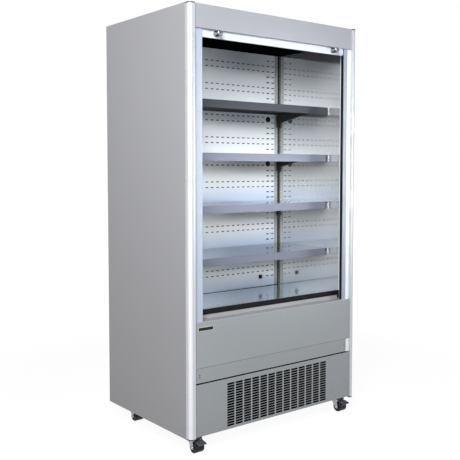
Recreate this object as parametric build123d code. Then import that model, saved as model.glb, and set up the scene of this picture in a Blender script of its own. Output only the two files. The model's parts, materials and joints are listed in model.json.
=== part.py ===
from build123d import *
import os
from math import cos, radians, sin

# Open multideck display fridge on four castors, in millimetres.
# X runs across the front with zero on the centre line, Z runs up from the floor.
# While the pieces are made, Y is the depth behind the face of the corner posts;
# save() then shifts all of them so that the origin is at the middle of the footprint.

# ---- the cabinet as a whole
width = 1006.0             # over the two side panels
depth = 694.0              # from the face of the corner posts to the rear edge of the side panels
height = 1900.0            # floor to roof
castor_height = 75.0       # floor to the underside of the chassis pan
skirt_drop = 5.0           # the outer panels hang this far below the chassis pan

# ---- sheet and wall thicknesses
skin = 1.2                 # painted outer sheet
liner = 1.0                # polished stainless inner sheet
side_wall = 48.0           # side skin, foam and liner together
rear_foam = 49.8
roof_foam = 36.8
floor_foam = 40.0
rear_recess = 10.0         # the rear panel sits this far inside the side panels' rear edges
flange = 14.0              # folded returns round the edges of the outer sheets

# ---- corner posts
post_width = 30.0
post_radius = 22.0
post_wall = 2.5
post_cap = 4.5             # thickness of the dark end caps
panel_setback = 8.0        # fascia and lower panels lie this far behind the post face

# ---- opening frame
jamb_setback = 15.0        # face of the pale jambs
jamb_width = 47.0
jamb_sheet = 2.0
pocket_depth = 16.0        # pocket in the jamb that holds the guide channel
pocket_width = 15.0
guide_wall = 3.0
guide_slot = 10.0
throat = 66.0              # front edge of the inner liners
fascia_height = 100.0
fascia_lip = 11.0

# ---- levels of the lower front
sill_top = 570.0
sill_sheet = 4.0
rib_height = 2.5
rib_pitch = 16.0
rib_count = 3
riser_height = 16.0
band_height = 22.0
band_depth = 16.0
band_leg = 13.0
strip_top = 370.0
strip_height = 63.0
panel_joint = 1.0          # fine joint above the service strip
shadow_gap = 4.0           # dark gap below the service strip
strip_cap_width = 24.0
badge_length = 80.0
badge_height = 17.0
badge_thickness = 1.5
badge_side = 18.0          # badge to post
badge_drop = 23.0          # badge to the top of the front panel

# ---- louvred grille
louvre_columns = 13
louvre_rows = 17
louvre_length = 39.0
louvre_height = 7.2
louvre_column_pitch = 47.5
louvre_row_pitch = 11.5
louvre_middle_shift = 5.5  # the field of slots sits a little to the right
louvre_margin = 26.0       # top of the grille panel to the middle of the first row

# ---- inside
deck_top = 581.0
well_floor = 381.0         # bottom of the well below the deck
deck_sheet = 1.5
deck_front = 142.0         # front edge of the deck and of the shelves
duct_face = 518.0          # face of the perforated rear wall
ceiling_height = 1825.0    # underside of the ceiling
upright_width = 34.0
upright_depth = 24.0
upright_sheet = 2.0
slot_pitch = 23.7
slot_height = 16.0
slot_width = 6.0
slot_side = 5.0            # slot to side wall
rail_size = 12.0           # ledges that carry the deck

# ---- perforated rear wall
dash_length = 18.0
dash_height = 5.0
dash_pitch = 34.0
dash_row_pitch = 28.6
dash_columns = 25
upper_first_row = 1794.0
upper_rows = 9
lower_first_row = 1494.0
lower_rows = 31
wall_joint = 1552.0        # the upper and lower sheets meet here, behind the first shelf

# ---- shelves
shelf_count = 4
top_shelf = 1526.0         # upper edge of the highest shelf's lip
slots_per_shelf = 10       # each shelf hangs this many slots below the one above
shelf_end_gap = 3.0        # shelf end to side wall
shelf_corner = 12.0        # the lip curves back at its ends
shelf_rear_gap = 3.0
shelf_sheet = 1.2
shelf_lip = 36.0
shelf_lip_rise = 3.0       # the lip stands above the shelf surface
shelf_bead = 7.0           # return along the foot of the lip
shelf_fold = 14.0          # height of the folds at the rear and the ends
bracket_sheet = 3.0
bracket_rear = 84.0        # height of the bracket's heel at the wall
bracket_heel = 14.0        # depth of the heel
bracket_arm = 56.0         # height of the arm where it leaves the heel
bracket_waist = 28.0       # height of the arm where its steep part ends
bracket_waist_reach = 160.0
bracket_nose = 14.0
bracket_reach = 350.0
hook_drop = 39.0           # underside of the shelf to the middle of the upper slot
bracket_fit = 0.3          # bracket to upright
bracket_foot = 16.0        # width of the bracket's foot that lies on the upright
hook_height = 10.0
hook_depth = 7.0
hook_catch = 4.5           # the hook reaches this far down behind the upright's sheet

# ---- night blind
bar_setback = 21.0         # face of the pull bar
bar_thickness = 8.0
bar_drop = 33.0            # visible height of the bar below the fascia
bar_hidden = 12.0
bar_end_gap = 5.0
shoe_gap = 1.0
knob_diameter = 26.0
knob_length = 36.0
knob_side = 152.0          # knob to the outside of the cabinet
knob_rise = 19.0           # knob centre above the lower edge of the bar
knob_plug = 12.0
fabric_thickness = 0.6
roller_radius = 22.0       # tube with the blind wound on it
roller_rise = 36.0         # roller axis above the fascia's lower edge
roller_end_gap = 6.0
pin_diameter = 8.0
running_fit = 0.05         # radial clearance of the turning fits
face_gap = 0.3             # side clearance where one piece turns beside another

# ---- canopy outlet, lamp and return grille
outlet_front = 76.0
outlet_rear = 138.0
outlet_wall = 2.0
outlet_cell = 11.0
outlet_web = 3.0
outlet_depth = 14.0
lamp_width = 22.0
lamp_height = 14.0
lamp_length = 800.0
return_slot = 40.0
return_slot_width = 4.0
return_pitch = 9.0
return_sheet = 3.0

# ---- chassis pan and machinery
pan_sheet = 2.5
pan_wall = 40.0
pad_sheet = 5.0
pad_size = 84.0
condenser_width = 360.0
condenser_depth = 50.0
condenser_height = 210.0
condenser_middle = -60.0
condenser_setback = 36.0
evaporator_width = 720.0
evaporator_depth = 130.0
evaporator_height = 150.0
evaporator_setback = 330.0
fin_pitch = 12.0
fin_thickness = 2.0
header_depth = 8.0
fan_plate_sheet = 1.5
fan_setback = 200.0        # plate below the deck that carries the evaporator fan
evaporator_fan = 150.0     # fan opening
condenser_fan = 190.0
fan_tip_gap = 4.0
fan_blades = 5
fan_hub = 46.0
fan_hub_length = 22.0
fan_pitch = 32.0           # blade angle in degrees
fan_shaft = 6.0
ring_depth = 20.0
ring_sheet = 2.0
motor_diameter = 62.0
motor_length = 40.0
compressor_diameter = 150.0
compressor_height = 190.0
compressor_x = 300.0
compressor_y = 430.0
tray_width = 300.0
tray_depth = 200.0
tray_height = 42.0
tray_sheet = 1.5
tray_x = -240.0
tray_y = 530.0
box_width = 180.0
box_depth = 110.0
box_height = 190.0
box_x = 300.0
box_y = 100.0
suction_pipe = 12.0
liquid_pipe = 8.0
drain_pipe = 16.0
stub_length = 8.0
pipe_alley = 85.0          # pipes rise this far behind the evaporator
pipe_clearance = 4.0
gland_diameter = 24.0
gland_bore = 9.0
gland_height = 180.0
gland_x = 380.0

# ---- castors
castor_inset_x = 61.0      # swivel axis to the outside of the cabinet, front pair
castor_inset_x_rear = 70.0
castor_inset_front = 62.0
castor_inset_rear = 124.0  # swivel axis to the rear edge of the side panels
castor_trail = 25.0
wheel_diameter = 50.0
wheel_width = 46.0
wheel_edge = 4.0
wheel_side_gap = 1.5
castor_plate = 3.0
castor_plate_size = 60.0
castor_bolt_pitch = 42.0
castor_bolt = 8.0
castor_nut = 7.0           # outer radius of the nuts
castor_nut_height = 6.5
bolt_clearance = 0.2
castor_head = 40.0
castor_head_height = 9.0
castor_leg = 2.5
king_pin = 10.0
axle_diameter = 8.0
axle_boss = 18.0
axle_head = 13.0
pedal_width = 40.0
pedal_length = 32.0
pedal_sheet = 2.5
pedal_rim = 5.0
pedal_slope = 12.0
pedal_pin = 5.0
pedal_barrel = 8.6
pedal_pin_ahead = 22.0     # pedal pin in front of the swivel axis
pedal_pin_drop = 17.5      # pedal pin below the chassis pan
pedal_neck = 16.0
pedal_neck_width = 26.0

# ---- fasteners and small fittings
screw_head = 7.0
screw_rise = 1.8
screw_shank = 4.0
screw_length = 8.0
screw_side = 25.0          # screws to post
screw_pair = 9.0
rear_screw_pitch = 420.0
grommet_diameter = 30.0
grommet_rise = 3.0
grommet_column = 11        # columns of dashes from the middle
grommet_drop = 8.0         # grommet centre below the shelf lip
clip_width = 16.0
clip_height = 20.0
clip_depth = 9.0
clip_x = 320.0
clip_level = 636.0

# ---- derived places
half = width / 2
inner_half = half - side_wall
foam_half = inner_half + liner
post_inner = half - post_width
jamb_inner = post_inner - jamb_width
body_bottom = castor_height - skirt_drop
pan_top = castor_height + pan_sheet
rear_face = depth - rear_recess
rear_foam_back = rear_face - skin
rear_foam_front = rear_foam_back - rear_foam
liner_rear = rear_foam_front - liner
duct_back = duct_face + skin
roof_under = height - skin
roof_foam_under = roof_under - roof_foam
ceiling_top = ceiling_height + skin
fascia_bottom = height - fascia_height
panel_front = panel_setback
panel_back = panel_setback + skin
deck_under = deck_top - deck_sheet
well_foam_top = sill_top - sill_sheet
foam_bottom = well_floor - liner - floor_foam
strip_bottom = strip_top - strip_height
grille_top = strip_bottom - shadow_gap
front_panel_bottom = strip_top + panel_joint
sill_back = throat - jamb_sheet
band_bottom = sill_top + riser_height
band_front = sill_back - 4.0
jamb_back = jamb_setback + jamb_sheet + pocket_depth
web_x = jamb_inner + pocket_width
slot_mid = jamb_setback + jamb_sheet + pocket_depth / 2
bar_bottom = fascia_bottom - bar_drop
bar_top = fascia_bottom + bar_hidden
bar_back = bar_setback + bar_thickness
bar_half = jamb_inner - bar_end_gap
knob_reach = max(knob_length - bar_setback, 0.0)
origin_depth = (depth - knob_reach) / 2
shelf_step = slot_pitch * slots_per_shelf
shelf_half = inner_half - shelf_end_gap
shelf_rear = duct_face - shelf_rear_gap
slot_x = inner_half - slot_side
wheel_radius = wheel_diameter / 2
plate_under = castor_height - castor_plate


def block(x0, x1, y0, y1, z0, z1):
    """A box between the given limits."""
    middle = Pos((x0 + x1) / 2, (y0 + y1) / 2, (z0 + z1) / 2)
    return middle * Box(x1 - x0, y1 - y0, z1 - z0)


def along_x(points, x0, x1):
    """A bar of constant outline, given as (depth, height) points."""
    return extrude(Plane.YZ.offset(x0) * Polygon(*points, align=None), x1 - x0, dir=(1, 0, 0))


def along_z(points, z0, z1):
    """An upright bar of constant outline, given as (across, depth) points."""
    return extrude(Plane.XY.offset(z0) * Polygon(*points, align=None), z1 - z0, dir=(0, 0, 1))


def folded(points, sheet, bend, x0, x1):
    """Sheet folded along a line of (depth, height) points at mid thickness."""
    path = FilletPolyline(*points, radius=bend)
    return extrude(Plane.YZ.offset(x0) * trace(path, sheet), x1 - x0)


def rod_x(radius, y, z, x0, x1):
    """A round bar across the cabinet."""
    return Pos((x0 + x1) / 2, y, z) * Rot(0, 90, 0) * Cylinder(radius, x1 - x0)


def rod_y(radius, x, z, y0, y1):
    """A round bar that runs into the depth."""
    return Pos(x, (y0 + y1) / 2, z) * Rot(90, 0, 0) * Cylinder(radius, y1 - y0)


def rod_z(radius, x, y, z0, z1):
    """An upright round bar."""
    return Pos(x, y, (z0 + z1) / 2) * Cylinder(radius, z1 - z0)


def mirrored(solid):
    """The same piece on the other side of the cabinet."""
    return mirror(solid, about=Plane.YZ)


def slots_through(centres, length, high, y0, y1):
    """Round-ended slots through a sheet that faces the front."""
    field = Sketch() + [Pos(x, z) * SlotOverall(length, high) for x, z in centres]
    return extrude(Plane.XZ.offset(-y1) * field, y1 - y0)


def save(node, *pieces):
    """Write one node, with its pieces as separate solids, about the common origin."""
    solids = [s for piece in pieces for s in piece.solids()]
    placed = [Pos(0, -origin_depth, 0) * s for s in solids]
    shape = placed[0] if len(placed) == 1 else Compound(children=placed)
    export_step(shape, os.path.join("parts", node + ".step"))


# ---------------------------------------------------------------- outer casing
def make_side_panel():
    """Left outer sheet with returns behind the post and round the rear edge."""
    sheet = block(-half, -half + skin, post_width, depth, body_bottom, height)
    front_return = block(-half, -half + flange, post_width, post_width + skin, body_bottom, roof_under)
    rear_return = block(-half, -half + flange, depth - skin, depth, body_bottom, height)
    return sheet + front_return + rear_return


def post_outline(inset):
    """Outline of the left post with its quarter-round nose, moved inwards by inset."""
    x_out, x_in = -half + inset, -post_inner - inset
    y_front, y_back = inset, post_width - inset
    turn = post_radius - inset
    edge = Polyline((x_out, y_front + turn), (x_out, y_back), (x_in, y_back), (x_in, y_front))
    edge += Line((x_in, y_front), (x_out + turn, y_front))
    edge += RadiusArc((x_out + turn, y_front), (x_out, y_front + turn), turn)
    return make_face(edge)


def make_corner_post():
    """Left hollow post."""
    outline = post_outline(0)
    hollow = post_outline(post_wall)
    lower = body_bottom + post_cap
    return extrude(Plane.XY.offset(lower) * (outline - hollow), height - post_cap - lower)


def make_post_caps():
    """End caps of the left post, with spigots inside it."""
    plug = post_wall + face_gap
    spigot = block(-half + post_radius, -post_inner - plug, plug, post_width - plug, 0, post_width / 2)
    cap = extrude(post_outline(0), post_cap)
    top = Pos(0, 0, height - post_cap) * (cap + Pos(0, 0, -post_width / 2) * spigot)
    bottom = Pos(0, 0, body_bottom) * (cap + Pos(0, 0, post_cap) * spigot)
    return top, bottom


def make_rear_panel():
    """Rear sheet with a vent field for the machine space and a hole for the mains gland."""
    edge = half - skin
    sheet = block(-edge, edge, rear_face - skin, rear_face, body_bottom, roof_under)
    vent_x = [column * 60.0 for column in range(-6, 5)]
    vent_z = [pan_top + pan_wall + 20.0 + row * 14.0 for row in range(10)]
    vents = slots_through([(x, z) for x in vent_x for z in vent_z], 44.0, 6.0, rear_face - skin, rear_face)
    hole = rod_y(gland_diameter / 2 - 4.0, gland_x, gland_height, rear_face - skin, rear_face)
    sheet = sheet - vents - hole
    for x, z in rear_screw_places():
        sheet = sheet - rod_y(screw_shank / 2 + bolt_clearance, x, z, rear_face - skin, rear_face)
    return sheet


def rear_screw_places():
    """Screws near the side edges of the rear panel."""
    x = half - skin - flange - 10.0
    return [(side * x, body_bottom + 40.0 + n * rear_screw_pitch) for side in (-1, 1) for n in range(5)]


def make_roof():
    """Top sheet between the side panels."""
    edge = half - skin
    return block(-edge, edge, post_width, rear_face, roof_under, height)


def make_fascia():
    """Canopy front with a lip under the lower edge and a return under the roof line."""
    y = panel_front + skin / 2
    top = height - skin / 2
    low = fascia_bottom + skin / 2
    line = [(post_width, top), (y, top), (y, low), (y + fascia_lip, low)]
    fascia = folded(line, skin, 2.0, -post_inner, post_inner)
    notch = block(-web_x - face_gap, -jamb_inner + face_gap, jamb_setback + jamb_sheet - face_gap,
                  post_width, fascia_bottom, fascia_bottom + 2 * skin)
    return fascia - notch - mirrored(notch)


def make_foam():
    """Foam slabs of the sides, the rear, the roof, the floor and the front apron."""
    side = block(-half + skin, -foam_half, throat, rear_foam_back, foam_bottom, roof_under)
    rear = block(-foam_half, foam_half, rear_foam_front, rear_foam_back, foam_bottom, roof_under)
    roof = block(-foam_half, foam_half, post_width + skin, rear_foam_front, roof_foam_under, roof_under)
    floor_top = foam_bottom + floor_foam
    floor = block(-foam_half, foam_half, throat, rear_foam_front, foam_bottom, floor_top)
    apron_bottom = front_panel_bottom + skin
    apron = block(-foam_half, foam_half, panel_back, throat - liner, apron_bottom, well_foam_top)
    for x, y, pipe in floor_pipes():
        floor = floor - rod_z(pipe / 2 + pipe_clearance, x, y, foam_bottom, floor_top)
    return side, mirrored(side), rear, roof, floor, apron


def make_liners():
    """Polished sheets inside the foam, with the ledges that carry the deck."""
    floor_top = foam_bottom + floor_foam
    side = block(-foam_half, -inner_half, throat, rear_foam_front, floor_top, roof_foam_under)
    rear = block(-inner_half, inner_half, liner_rear, rear_foam_front, floor_top, roof_foam_under)
    floor = block(-inner_half, inner_half, throat, liner_rear, floor_top, well_floor)
    front = block(-inner_half, inner_half, throat - liner, throat, foam_bottom, well_foam_top)
    rail = block(-inner_half, -inner_half + rail_size, throat + 10.0, duct_face,
                 deck_under - rail_size, deck_under)
    for x, y, pipe in floor_pipes():
        floor = floor - rod_z(pipe / 2 + pipe_clearance, x, y, floor_top, well_floor)
    return side, mirrored(side), rear, floor, front, rail, mirrored(rail)


# ---------------------------------------------------------------- opening frame
def make_jamb():
    """Left jamb: face, pocket for the guide channel and a leg back to the liner."""
    face_back = jamb_setback + jamb_sheet
    leg_out = -foam_half
    leg_in = leg_out + jamb_sheet
    outline = [
        (-post_inner, jamb_setback), (-jamb_inner, jamb_setback), (-jamb_inner, face_back),
        (-web_x, face_back), (-web_x, jamb_back), (-jamb_inner, jamb_back),
        (-jamb_inner, jamb_back + jamb_sheet), (leg_in, jamb_back + jamb_sheet),
        (leg_in, throat), (leg_out, throat), (leg_out, jamb_back),
        (-web_x - jamb_sheet, jamb_back), (-web_x - jamb_sheet, face_back), (-post_inner, face_back),
    ]
    return along_z(outline, sill_top, fascia_bottom)


def make_guide():
    """Left black channel in the jamb's pocket, open towards the middle."""
    front = jamb_setback + jamb_sheet
    channel = block(-web_x, -jamb_inner, front, jamb_back, sill_top, roof_foam_under)
    slot = block(-web_x + guide_wall, -jamb_inner, slot_mid - guide_slot / 2, slot_mid + guide_slot / 2,
                 sill_top, roof_foam_under)
    return channel - slot


def make_sill():
    """Ribbed ledge with a riser and the flange that carries the black band."""
    flange_back = band_front + band_depth
    outline = [
        (panel_front, well_foam_top), (panel_front, sill_top), (sill_back - jamb_sheet, sill_top),
        (sill_back - jamb_sheet, band_bottom), (flange_back, band_bottom),
        (flange_back, band_bottom - jamb_sheet), (sill_back, band_bottom - jamb_sheet),
        (sill_back, well_foam_top),
    ]
    sill = along_x(outline, -post_inner, post_inner)
    for n in range(rib_count):
        y = panel_front + rib_pitch * (n + 0.5)
        groove = block(-jamb_inner, jamb_inner, y, y + rib_pitch / 2, sill_top - rib_height, sill_top)
        sill = sill - groove
    relief = block(-half, -foam_half + jamb_sheet, jamb_setback, flange_back, sill_top, band_bottom)
    return sill - relief - mirrored(relief)


def make_band():
    """Black band behind the sill, with a leg at each end down to the ledge."""
    end = foam_half - jamb_sheet - face_gap
    bar = block(-end, end, band_front, band_front + band_depth, band_bottom, band_bottom + band_height)
    top_edges = bar.edges().filter_by(Axis.X).group_by(Axis.Z)[-1]
    bar = fillet(top_edges, 4.0)
    leg = block(-end, -end + band_leg, band_front, sill_back - jamb_sheet, sill_top, band_bottom)
    return bar + leg + mirrored(leg)


def make_return_grille():
    """Slotted plate that takes the air back in between band and deck."""
    front = throat + 10.0
    end = inner_half - face_gap
    rear = deck_front - face_gap
    plate = block(-end, end, front, rear, deck_under, deck_under + return_sheet)
    count = int((inner_half - 20.0) / return_pitch)
    middle = (front + rear) / 2
    field = Sketch() + [
        Pos(n * return_pitch, middle) * Rot(0, 0, 90) * SlotOverall(return_slot, return_slot_width)
        for n in range(-count, count + 1)
    ]
    return plate - extrude(Plane.XY.offset(deck_under) * field, return_sheet)


def make_outlet():
    """Air outlet under the canopy: a shallow box with a grid of cells."""
    top = roof_foam_under
    end = inner_half - face_gap
    low = ceiling_height - 6.0
    body = block(-end, end, outlet_front, outlet_rear, low, top)
    cavity = block(-end + outlet_wall, end - outlet_wall, outlet_front + outlet_wall, outlet_rear,
                   low + outlet_depth, top)
    pitch = outlet_cell + outlet_web
    columns = int((2 * end - 2 * outlet_wall) / pitch)
    rows = int((outlet_rear - outlet_front - 2 * outlet_wall) / pitch)
    middle = (outlet_front + outlet_rear) / 2
    cells = [Pos(x.position.X, x.position.Y + middle) * Rectangle(outlet_cell, outlet_cell)
             for x in GridLocations(pitch, pitch, columns, rows)]
    grid = extrude(Plane.XY.offset(low) * (Sketch() + cells), outlet_depth)
    return body - cavity - grid


def make_ceiling():
    """Black ceiling below the roof duct."""
    return block(-inner_half, inner_half, outlet_rear, duct_back, ceiling_height, ceiling_top)


def make_lamp():
    """Lamp batten under the front of the ceiling."""
    y = outlet_rear + 10.0
    low = ceiling_height - lamp_height
    batten = block(-lamp_length / 2, lamp_length / 2, y, y + lamp_width, low, ceiling_height)
    lower_edges = batten.edges().filter_by(Axis.X).group_by(Axis.Z)[0]
    return fillet(lower_edges, lamp_height / 3)


# ---------------------------------------------------------------- lower front
def lower_panel(x0, x1, z0, z1):
    """Front sheet folded back along its upper and lower edges."""
    y = panel_front + skin / 2
    back = panel_front + flange
    line = [(back, z1 - skin / 2), (y, z1 - skin / 2), (y, z0 + skin / 2), (back, z0 + skin / 2)]
    return folded(line, skin, 1.5, x0, x1)


def screw_places():
    """Pairs of screws at the two ends of the service strip."""
    low = strip_bottom + strip_height / 2 - screw_pair / 2
    x = post_inner - screw_side
    shift = strip_cap_width / 2 - 1.0
    return [(-x, low), (-x, low + screw_pair), (x - shift, low), (x - shift, low + screw_pair)]


def make_front_panel():
    """Upper panel of the lower front, folded back under the apron's foam."""
    y = panel_front
    top = well_foam_top
    sheet = block(-post_inner, post_inner, y, panel_back, front_panel_bottom, top)
    lip = block(-post_inner, post_inner, y, y + flange, front_panel_bottom, front_panel_bottom + skin)
    return sheet + lip


def make_service_strip():
    """Strip over the controls, with holes for its screws."""
    strip = lower_panel(-post_inner, post_inner - strip_cap_width, strip_bottom, strip_top)
    for x, z in screw_places():
        strip = strip - rod_y(screw_shank / 2 + bolt_clearance, x, z, panel_front, panel_back)
    return strip


def make_strip_cap():
    """Pale end piece that closes the strip at the right."""
    piece = block(post_inner - strip_cap_width, post_inner, panel_front, panel_front + flange,
                  strip_bottom, strip_top)
    return fillet(piece.edges().filter_by(Axis.Z).group_by(Axis.Y)[0], 1.5)


def make_grille_panel():
    """Louvred panel in front of the condenser."""
    panel = lower_panel(-post_inner, post_inner, castor_height, grille_top)
    first = louvre_middle_shift - (louvre_columns - 1) * louvre_column_pitch / 2
    top = grille_top - louvre_margin
    centres = [(first + column * louvre_column_pitch, top - row * louvre_row_pitch)
               for column in range(louvre_columns) for row in range(louvre_rows)]
    return panel - slots_through(centres, louvre_length, louvre_height, panel_front, panel_back)


def make_badge():
    """Bare plate at the left of the front panel."""
    x = -post_inner + badge_side
    z = well_foam_top + sill_sheet - badge_drop
    plate = block(x, x + badge_length, panel_front - badge_thickness, panel_front, z - badge_height, z)
    return fillet(plate.edges().filter_by(Axis.Y), 2.5)


# ---------------------------------------------------------------- inside
def wall_sheet(z0, z1, first_row, rows, pattern, holes):
    """Perforated sheet: some rows run right across, the others only beside the uprights."""
    edge = inner_half - upright_width
    centres = []
    side = (dash_columns - 1) // 2
    for row in range(rows):
        z = first_row - row * dash_row_pitch
        for column in range(-side, side + 1):
            if row % 4 in pattern or abs(column) >= side - 1:
                centres.append((column * dash_pitch, z))
    blocked = grommet_diameter / 2 + dash_length / 2
    centres = [(x, z) for x, z in centres
               if all(abs(x - hx) > blocked or abs(z - hz) > blocked for hx, hz in holes)]
    sheet = block(-edge, edge, duct_face, duct_back, z0, z1)
    sheet = sheet - slots_through(centres, dash_length, dash_height, duct_face, duct_back)
    for x, z in holes:
        sheet = sheet - rod_y(grommet_diameter / 2 - 2.0, x, z, duct_face, duct_back)
    return sheet


def grommet_places():
    """Blanking grommets below the two highest shelves."""
    return [(grommet_column * dash_pitch, shelf_top(n) - shelf_lip - grommet_drop) for n in (0, 1)]


def make_upright():
    """Left slotted channel in the rear corner."""
    x0 = -inner_half
    x1 = x0 + upright_width
    low = deck_top + 2.0
    channel = block(x0, x1, duct_face, duct_face + upright_depth, low, ceiling_height)
    hollow = block(x0 + upright_sheet, x1 - upright_sheet, duct_face + upright_sheet,
                   duct_face + upright_depth, low, ceiling_height)
    highest = hook_level(0)
    while highest + slot_pitch + slot_height / 2 < ceiling_height:
        highest += slot_pitch
    count = int((highest - low) / slot_pitch)
    centres = [(-slot_x, highest - n * slot_pitch) for n in range(count)]
    upright = [Pos(x, z) * Rot(0, 0, 90) * SlotOverall(slot_height, slot_width) for x, z in centres]
    cut = extrude(Plane.XZ.offset(-duct_face - upright_sheet) * (Sketch() + upright), upright_sheet)
    return channel - hollow - cut


def hook_level(n):
    """Middle of the slot that takes the upper hook of shelf n."""
    return shelf_top(n) - shelf_lip_rise - shelf_sheet - hook_drop


def make_wall_fittings():
    """Grommets and probe clip."""
    pieces = []
    for x, z in grommet_places():
        head = rod_y(grommet_diameter / 2, x, z, duct_face - grommet_rise, duct_face)
        stem = rod_y(grommet_diameter / 2 - 2.0 - face_gap, x, z, duct_face, duct_back + 6.0)
        pieces.append(head + stem)
    clip = block(clip_x - clip_width / 2, clip_x + clip_width / 2, duct_face - clip_depth, duct_face,
                 clip_level - clip_height / 2, clip_level + clip_height / 2)
    mouth = block(clip_x - clip_width / 2 + 4.0, clip_x + clip_width / 2 - 4.0,
                  duct_face - clip_depth, duct_face - 3.0,
                  clip_level - clip_height / 2, clip_level + clip_height / 2)
    pieces.append(clip - mouth)
    return pieces


def make_gland():
    """Mains gland in the rear panel, with a clear bore for the cord."""
    nut = extrude(Plane.XZ.offset(-rear_face - 4.0) * RegularPolygon(gland_diameter / 2, 6), 4.0)
    nut = Pos(gland_x, 0, gland_height) * nut
    dome = rod_y(gland_diameter / 2 - 4.0, gland_x, gland_height, rear_face + 4.0, rear_face + 9.0)
    thread = rod_y(gland_diameter / 2 - 4.0 - face_gap, gland_x, gland_height, rear_face - 14.0, rear_face)
    bore = rod_y(gland_bore / 2, gland_x, gland_height, rear_face - 14.0, rear_face + 9.0)
    return nut + dome + thread - bore


def make_deck():
    """Polished deck with folded front and rear edges."""
    edge = inner_half - face_gap
    y0 = deck_front
    y1 = duct_face - face_gap
    plate = block(-edge, edge, y0, y1, deck_under, deck_top)
    inset = edge - rail_size - 2.0
    front_fold = block(-inset, inset, y0, y0 + deck_sheet, deck_under - 20.0, deck_under)
    rear_fold = block(-inset, inset, y1 - deck_sheet, y1, deck_under - 20.0, deck_under)
    return plate + front_fold + rear_fold


def shelf_top(n):
    """Upper edge of the lip of shelf n, counted from the top."""
    return top_shelf - n * shelf_step


def make_shelf(n):
    """Shelf tray: deep front lip folded back along its foot and curved back at its ends."""
    top = shelf_top(n)
    surface = top - shelf_lip_rise
    y = deck_front + shelf_sheet / 2
    foot = top - shelf_lip + shelf_sheet / 2
    lip_back = y + 2 * shelf_sheet
    lip_line = [(y + shelf_bead, foot), (y, foot), (y, top - shelf_sheet / 2),
                (lip_back, top - shelf_sheet / 2), (lip_back, surface - shelf_sheet / 2),
                (shelf_rear, surface - shelf_sheet / 2)]
    path = Polyline(*lip_line)
    tray = extrude(Plane.YZ.offset(-shelf_half) * trace(path, shelf_sheet), 2 * shelf_half)
    rear_fold = block(-shelf_half, shelf_half, shelf_rear - shelf_sheet, shelf_rear,
                      surface - shelf_fold, surface - shelf_sheet)
    fold_x = bracket_sheet / 2 + face_gap - slot_x
    side_fold = block(fold_x, fold_x + shelf_sheet, deck_front + shelf_corner, shelf_rear,
                      surface - shelf_fold, surface - shelf_sheet)
    x = -shelf_half + shelf_corner
    y = deck_front + shelf_corner
    square = block(-shelf_half, x, deck_front, y, top - shelf_lip, top)
    outer = rod_z(shelf_corner, x, y, top - shelf_lip, top)
    inner = rod_z(shelf_corner - shelf_sheet, x, y, top - shelf_lip, top)
    waste = square - outer
    curve = square & (outer - inner)
    shelf = tray + rear_fold + side_fold + mirrored(side_fold)
    return shelf - waste - mirrored(waste) + curve + mirrored(curve)


def make_bracket(n):
    """Left bracket: a tapered arm, a rounded foot on the upright and two hooks."""
    under = shelf_top(n) - shelf_lip_rise - shelf_sheet
    x0 = -slot_x - bracket_sheet / 2
    x1 = x0 + bracket_sheet
    rear = duct_face - bracket_fit
    arm_rear = shelf_rear - shelf_sheet - face_gap
    low = under - bracket_rear
    outline = [(rear - bracket_reach, under), (rear - bracket_reach, under - bracket_nose),
               (rear - bracket_waist_reach, under - bracket_waist),
               (rear - bracket_heel, under - bracket_arm), (rear - bracket_heel, low), (rear, low),
               (rear, under - shelf_fold), (arm_rear, under - shelf_fold), (arm_rear, under)]
    arm = along_x(outline, x0, x1)
    foot = block(x0, x0 + bracket_foot, rear - bracket_sheet, rear, low, under - 18.0)
    foot = fillet(foot.edges().filter_by(Axis.Y).group_by(Axis.Z)[0].sort_by(Axis.X)[-1], 10.0)
    bracket = arm + foot
    behind = duct_face + upright_sheet + bracket_fit
    for z in (hook_level(n), hook_level(n) - slot_pitch):
        sole = z - slot_height / 2 + 0.7
        tongue = block(x0, x1, rear, rear + hook_depth, sole, sole + hook_height)
        catch = block(x0, x1, behind, rear + hook_depth, sole - hook_catch, sole)
        bracket = bracket + tongue + catch
    return bracket


# ---------------------------------------------------------------- night blind
def make_bar():
    """Pull bar with a shoe at each end that runs in the guide channel."""
    bar = block(-bar_half, bar_half, bar_setback, bar_back, bar_bottom, bar_top)
    bar = fillet(bar.edges().filter_by(Axis.X).group_by(Axis.Z)[0], 2.0)
    shoe_end = web_x - guide_wall - shoe_gap
    shoe = block(-shoe_end, -bar_half, bar_setback + shoe_gap / 2, bar_back - shoe_gap / 2,
                 bar_bottom + 6.0, bar_top - 6.0)
    return bar + shoe + mirrored(shoe)


def make_knobs():
    """Two round knobs that screw onto the bar, each with a plug hole in its face."""
    x = half - knob_side
    z = bar_bottom + knob_rise
    front = bar_setback - knob_length
    body = rod_y(knob_diameter / 2, -x, z, front, bar_setback)
    body = chamfer(body.edges().filter_by(GeomType.CIRCLE).group_by(Axis.Y)[0], 1.5)
    hole = rod_y(knob_plug / 2, -x, z, front, front + 6.0)
    groove = rod_y(knob_diameter / 2, -x, z, bar_setback - 6.0, bar_setback - 3.0)
    groove = groove - rod_y(knob_diameter / 2 - 1.5, -x, z, bar_setback - 6.0, bar_setback - 3.0)
    knob = body - hole - groove
    return knob, mirrored(knob)


def roller_place():
    """Depth and height of the roller's axis."""
    fabric_back = (bar_setback + bar_back + fabric_thickness) / 2
    return fabric_back + face_gap + roller_radius, fascia_bottom + roller_rise


def make_fabric():
    """The stretch of blind between the roller and the bar."""
    y = (bar_setback + bar_back) / 2
    end = bar_half - 4.0
    level = roller_place()[1]
    return block(-end, end, y - fabric_thickness / 2, y + fabric_thickness / 2, bar_top, level)


def make_roller():
    """Roller tube with the blind wound on it and a pin at each end."""
    y, z = roller_place()
    end = jamb_inner - roller_end_gap
    barrel = rod_x(roller_radius, y, z, -end, end)
    pin_end = end + face_gap + bracket_sheet
    return barrel + rod_x(pin_diameter / 2, y, z, -pin_end, pin_end)


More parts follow.
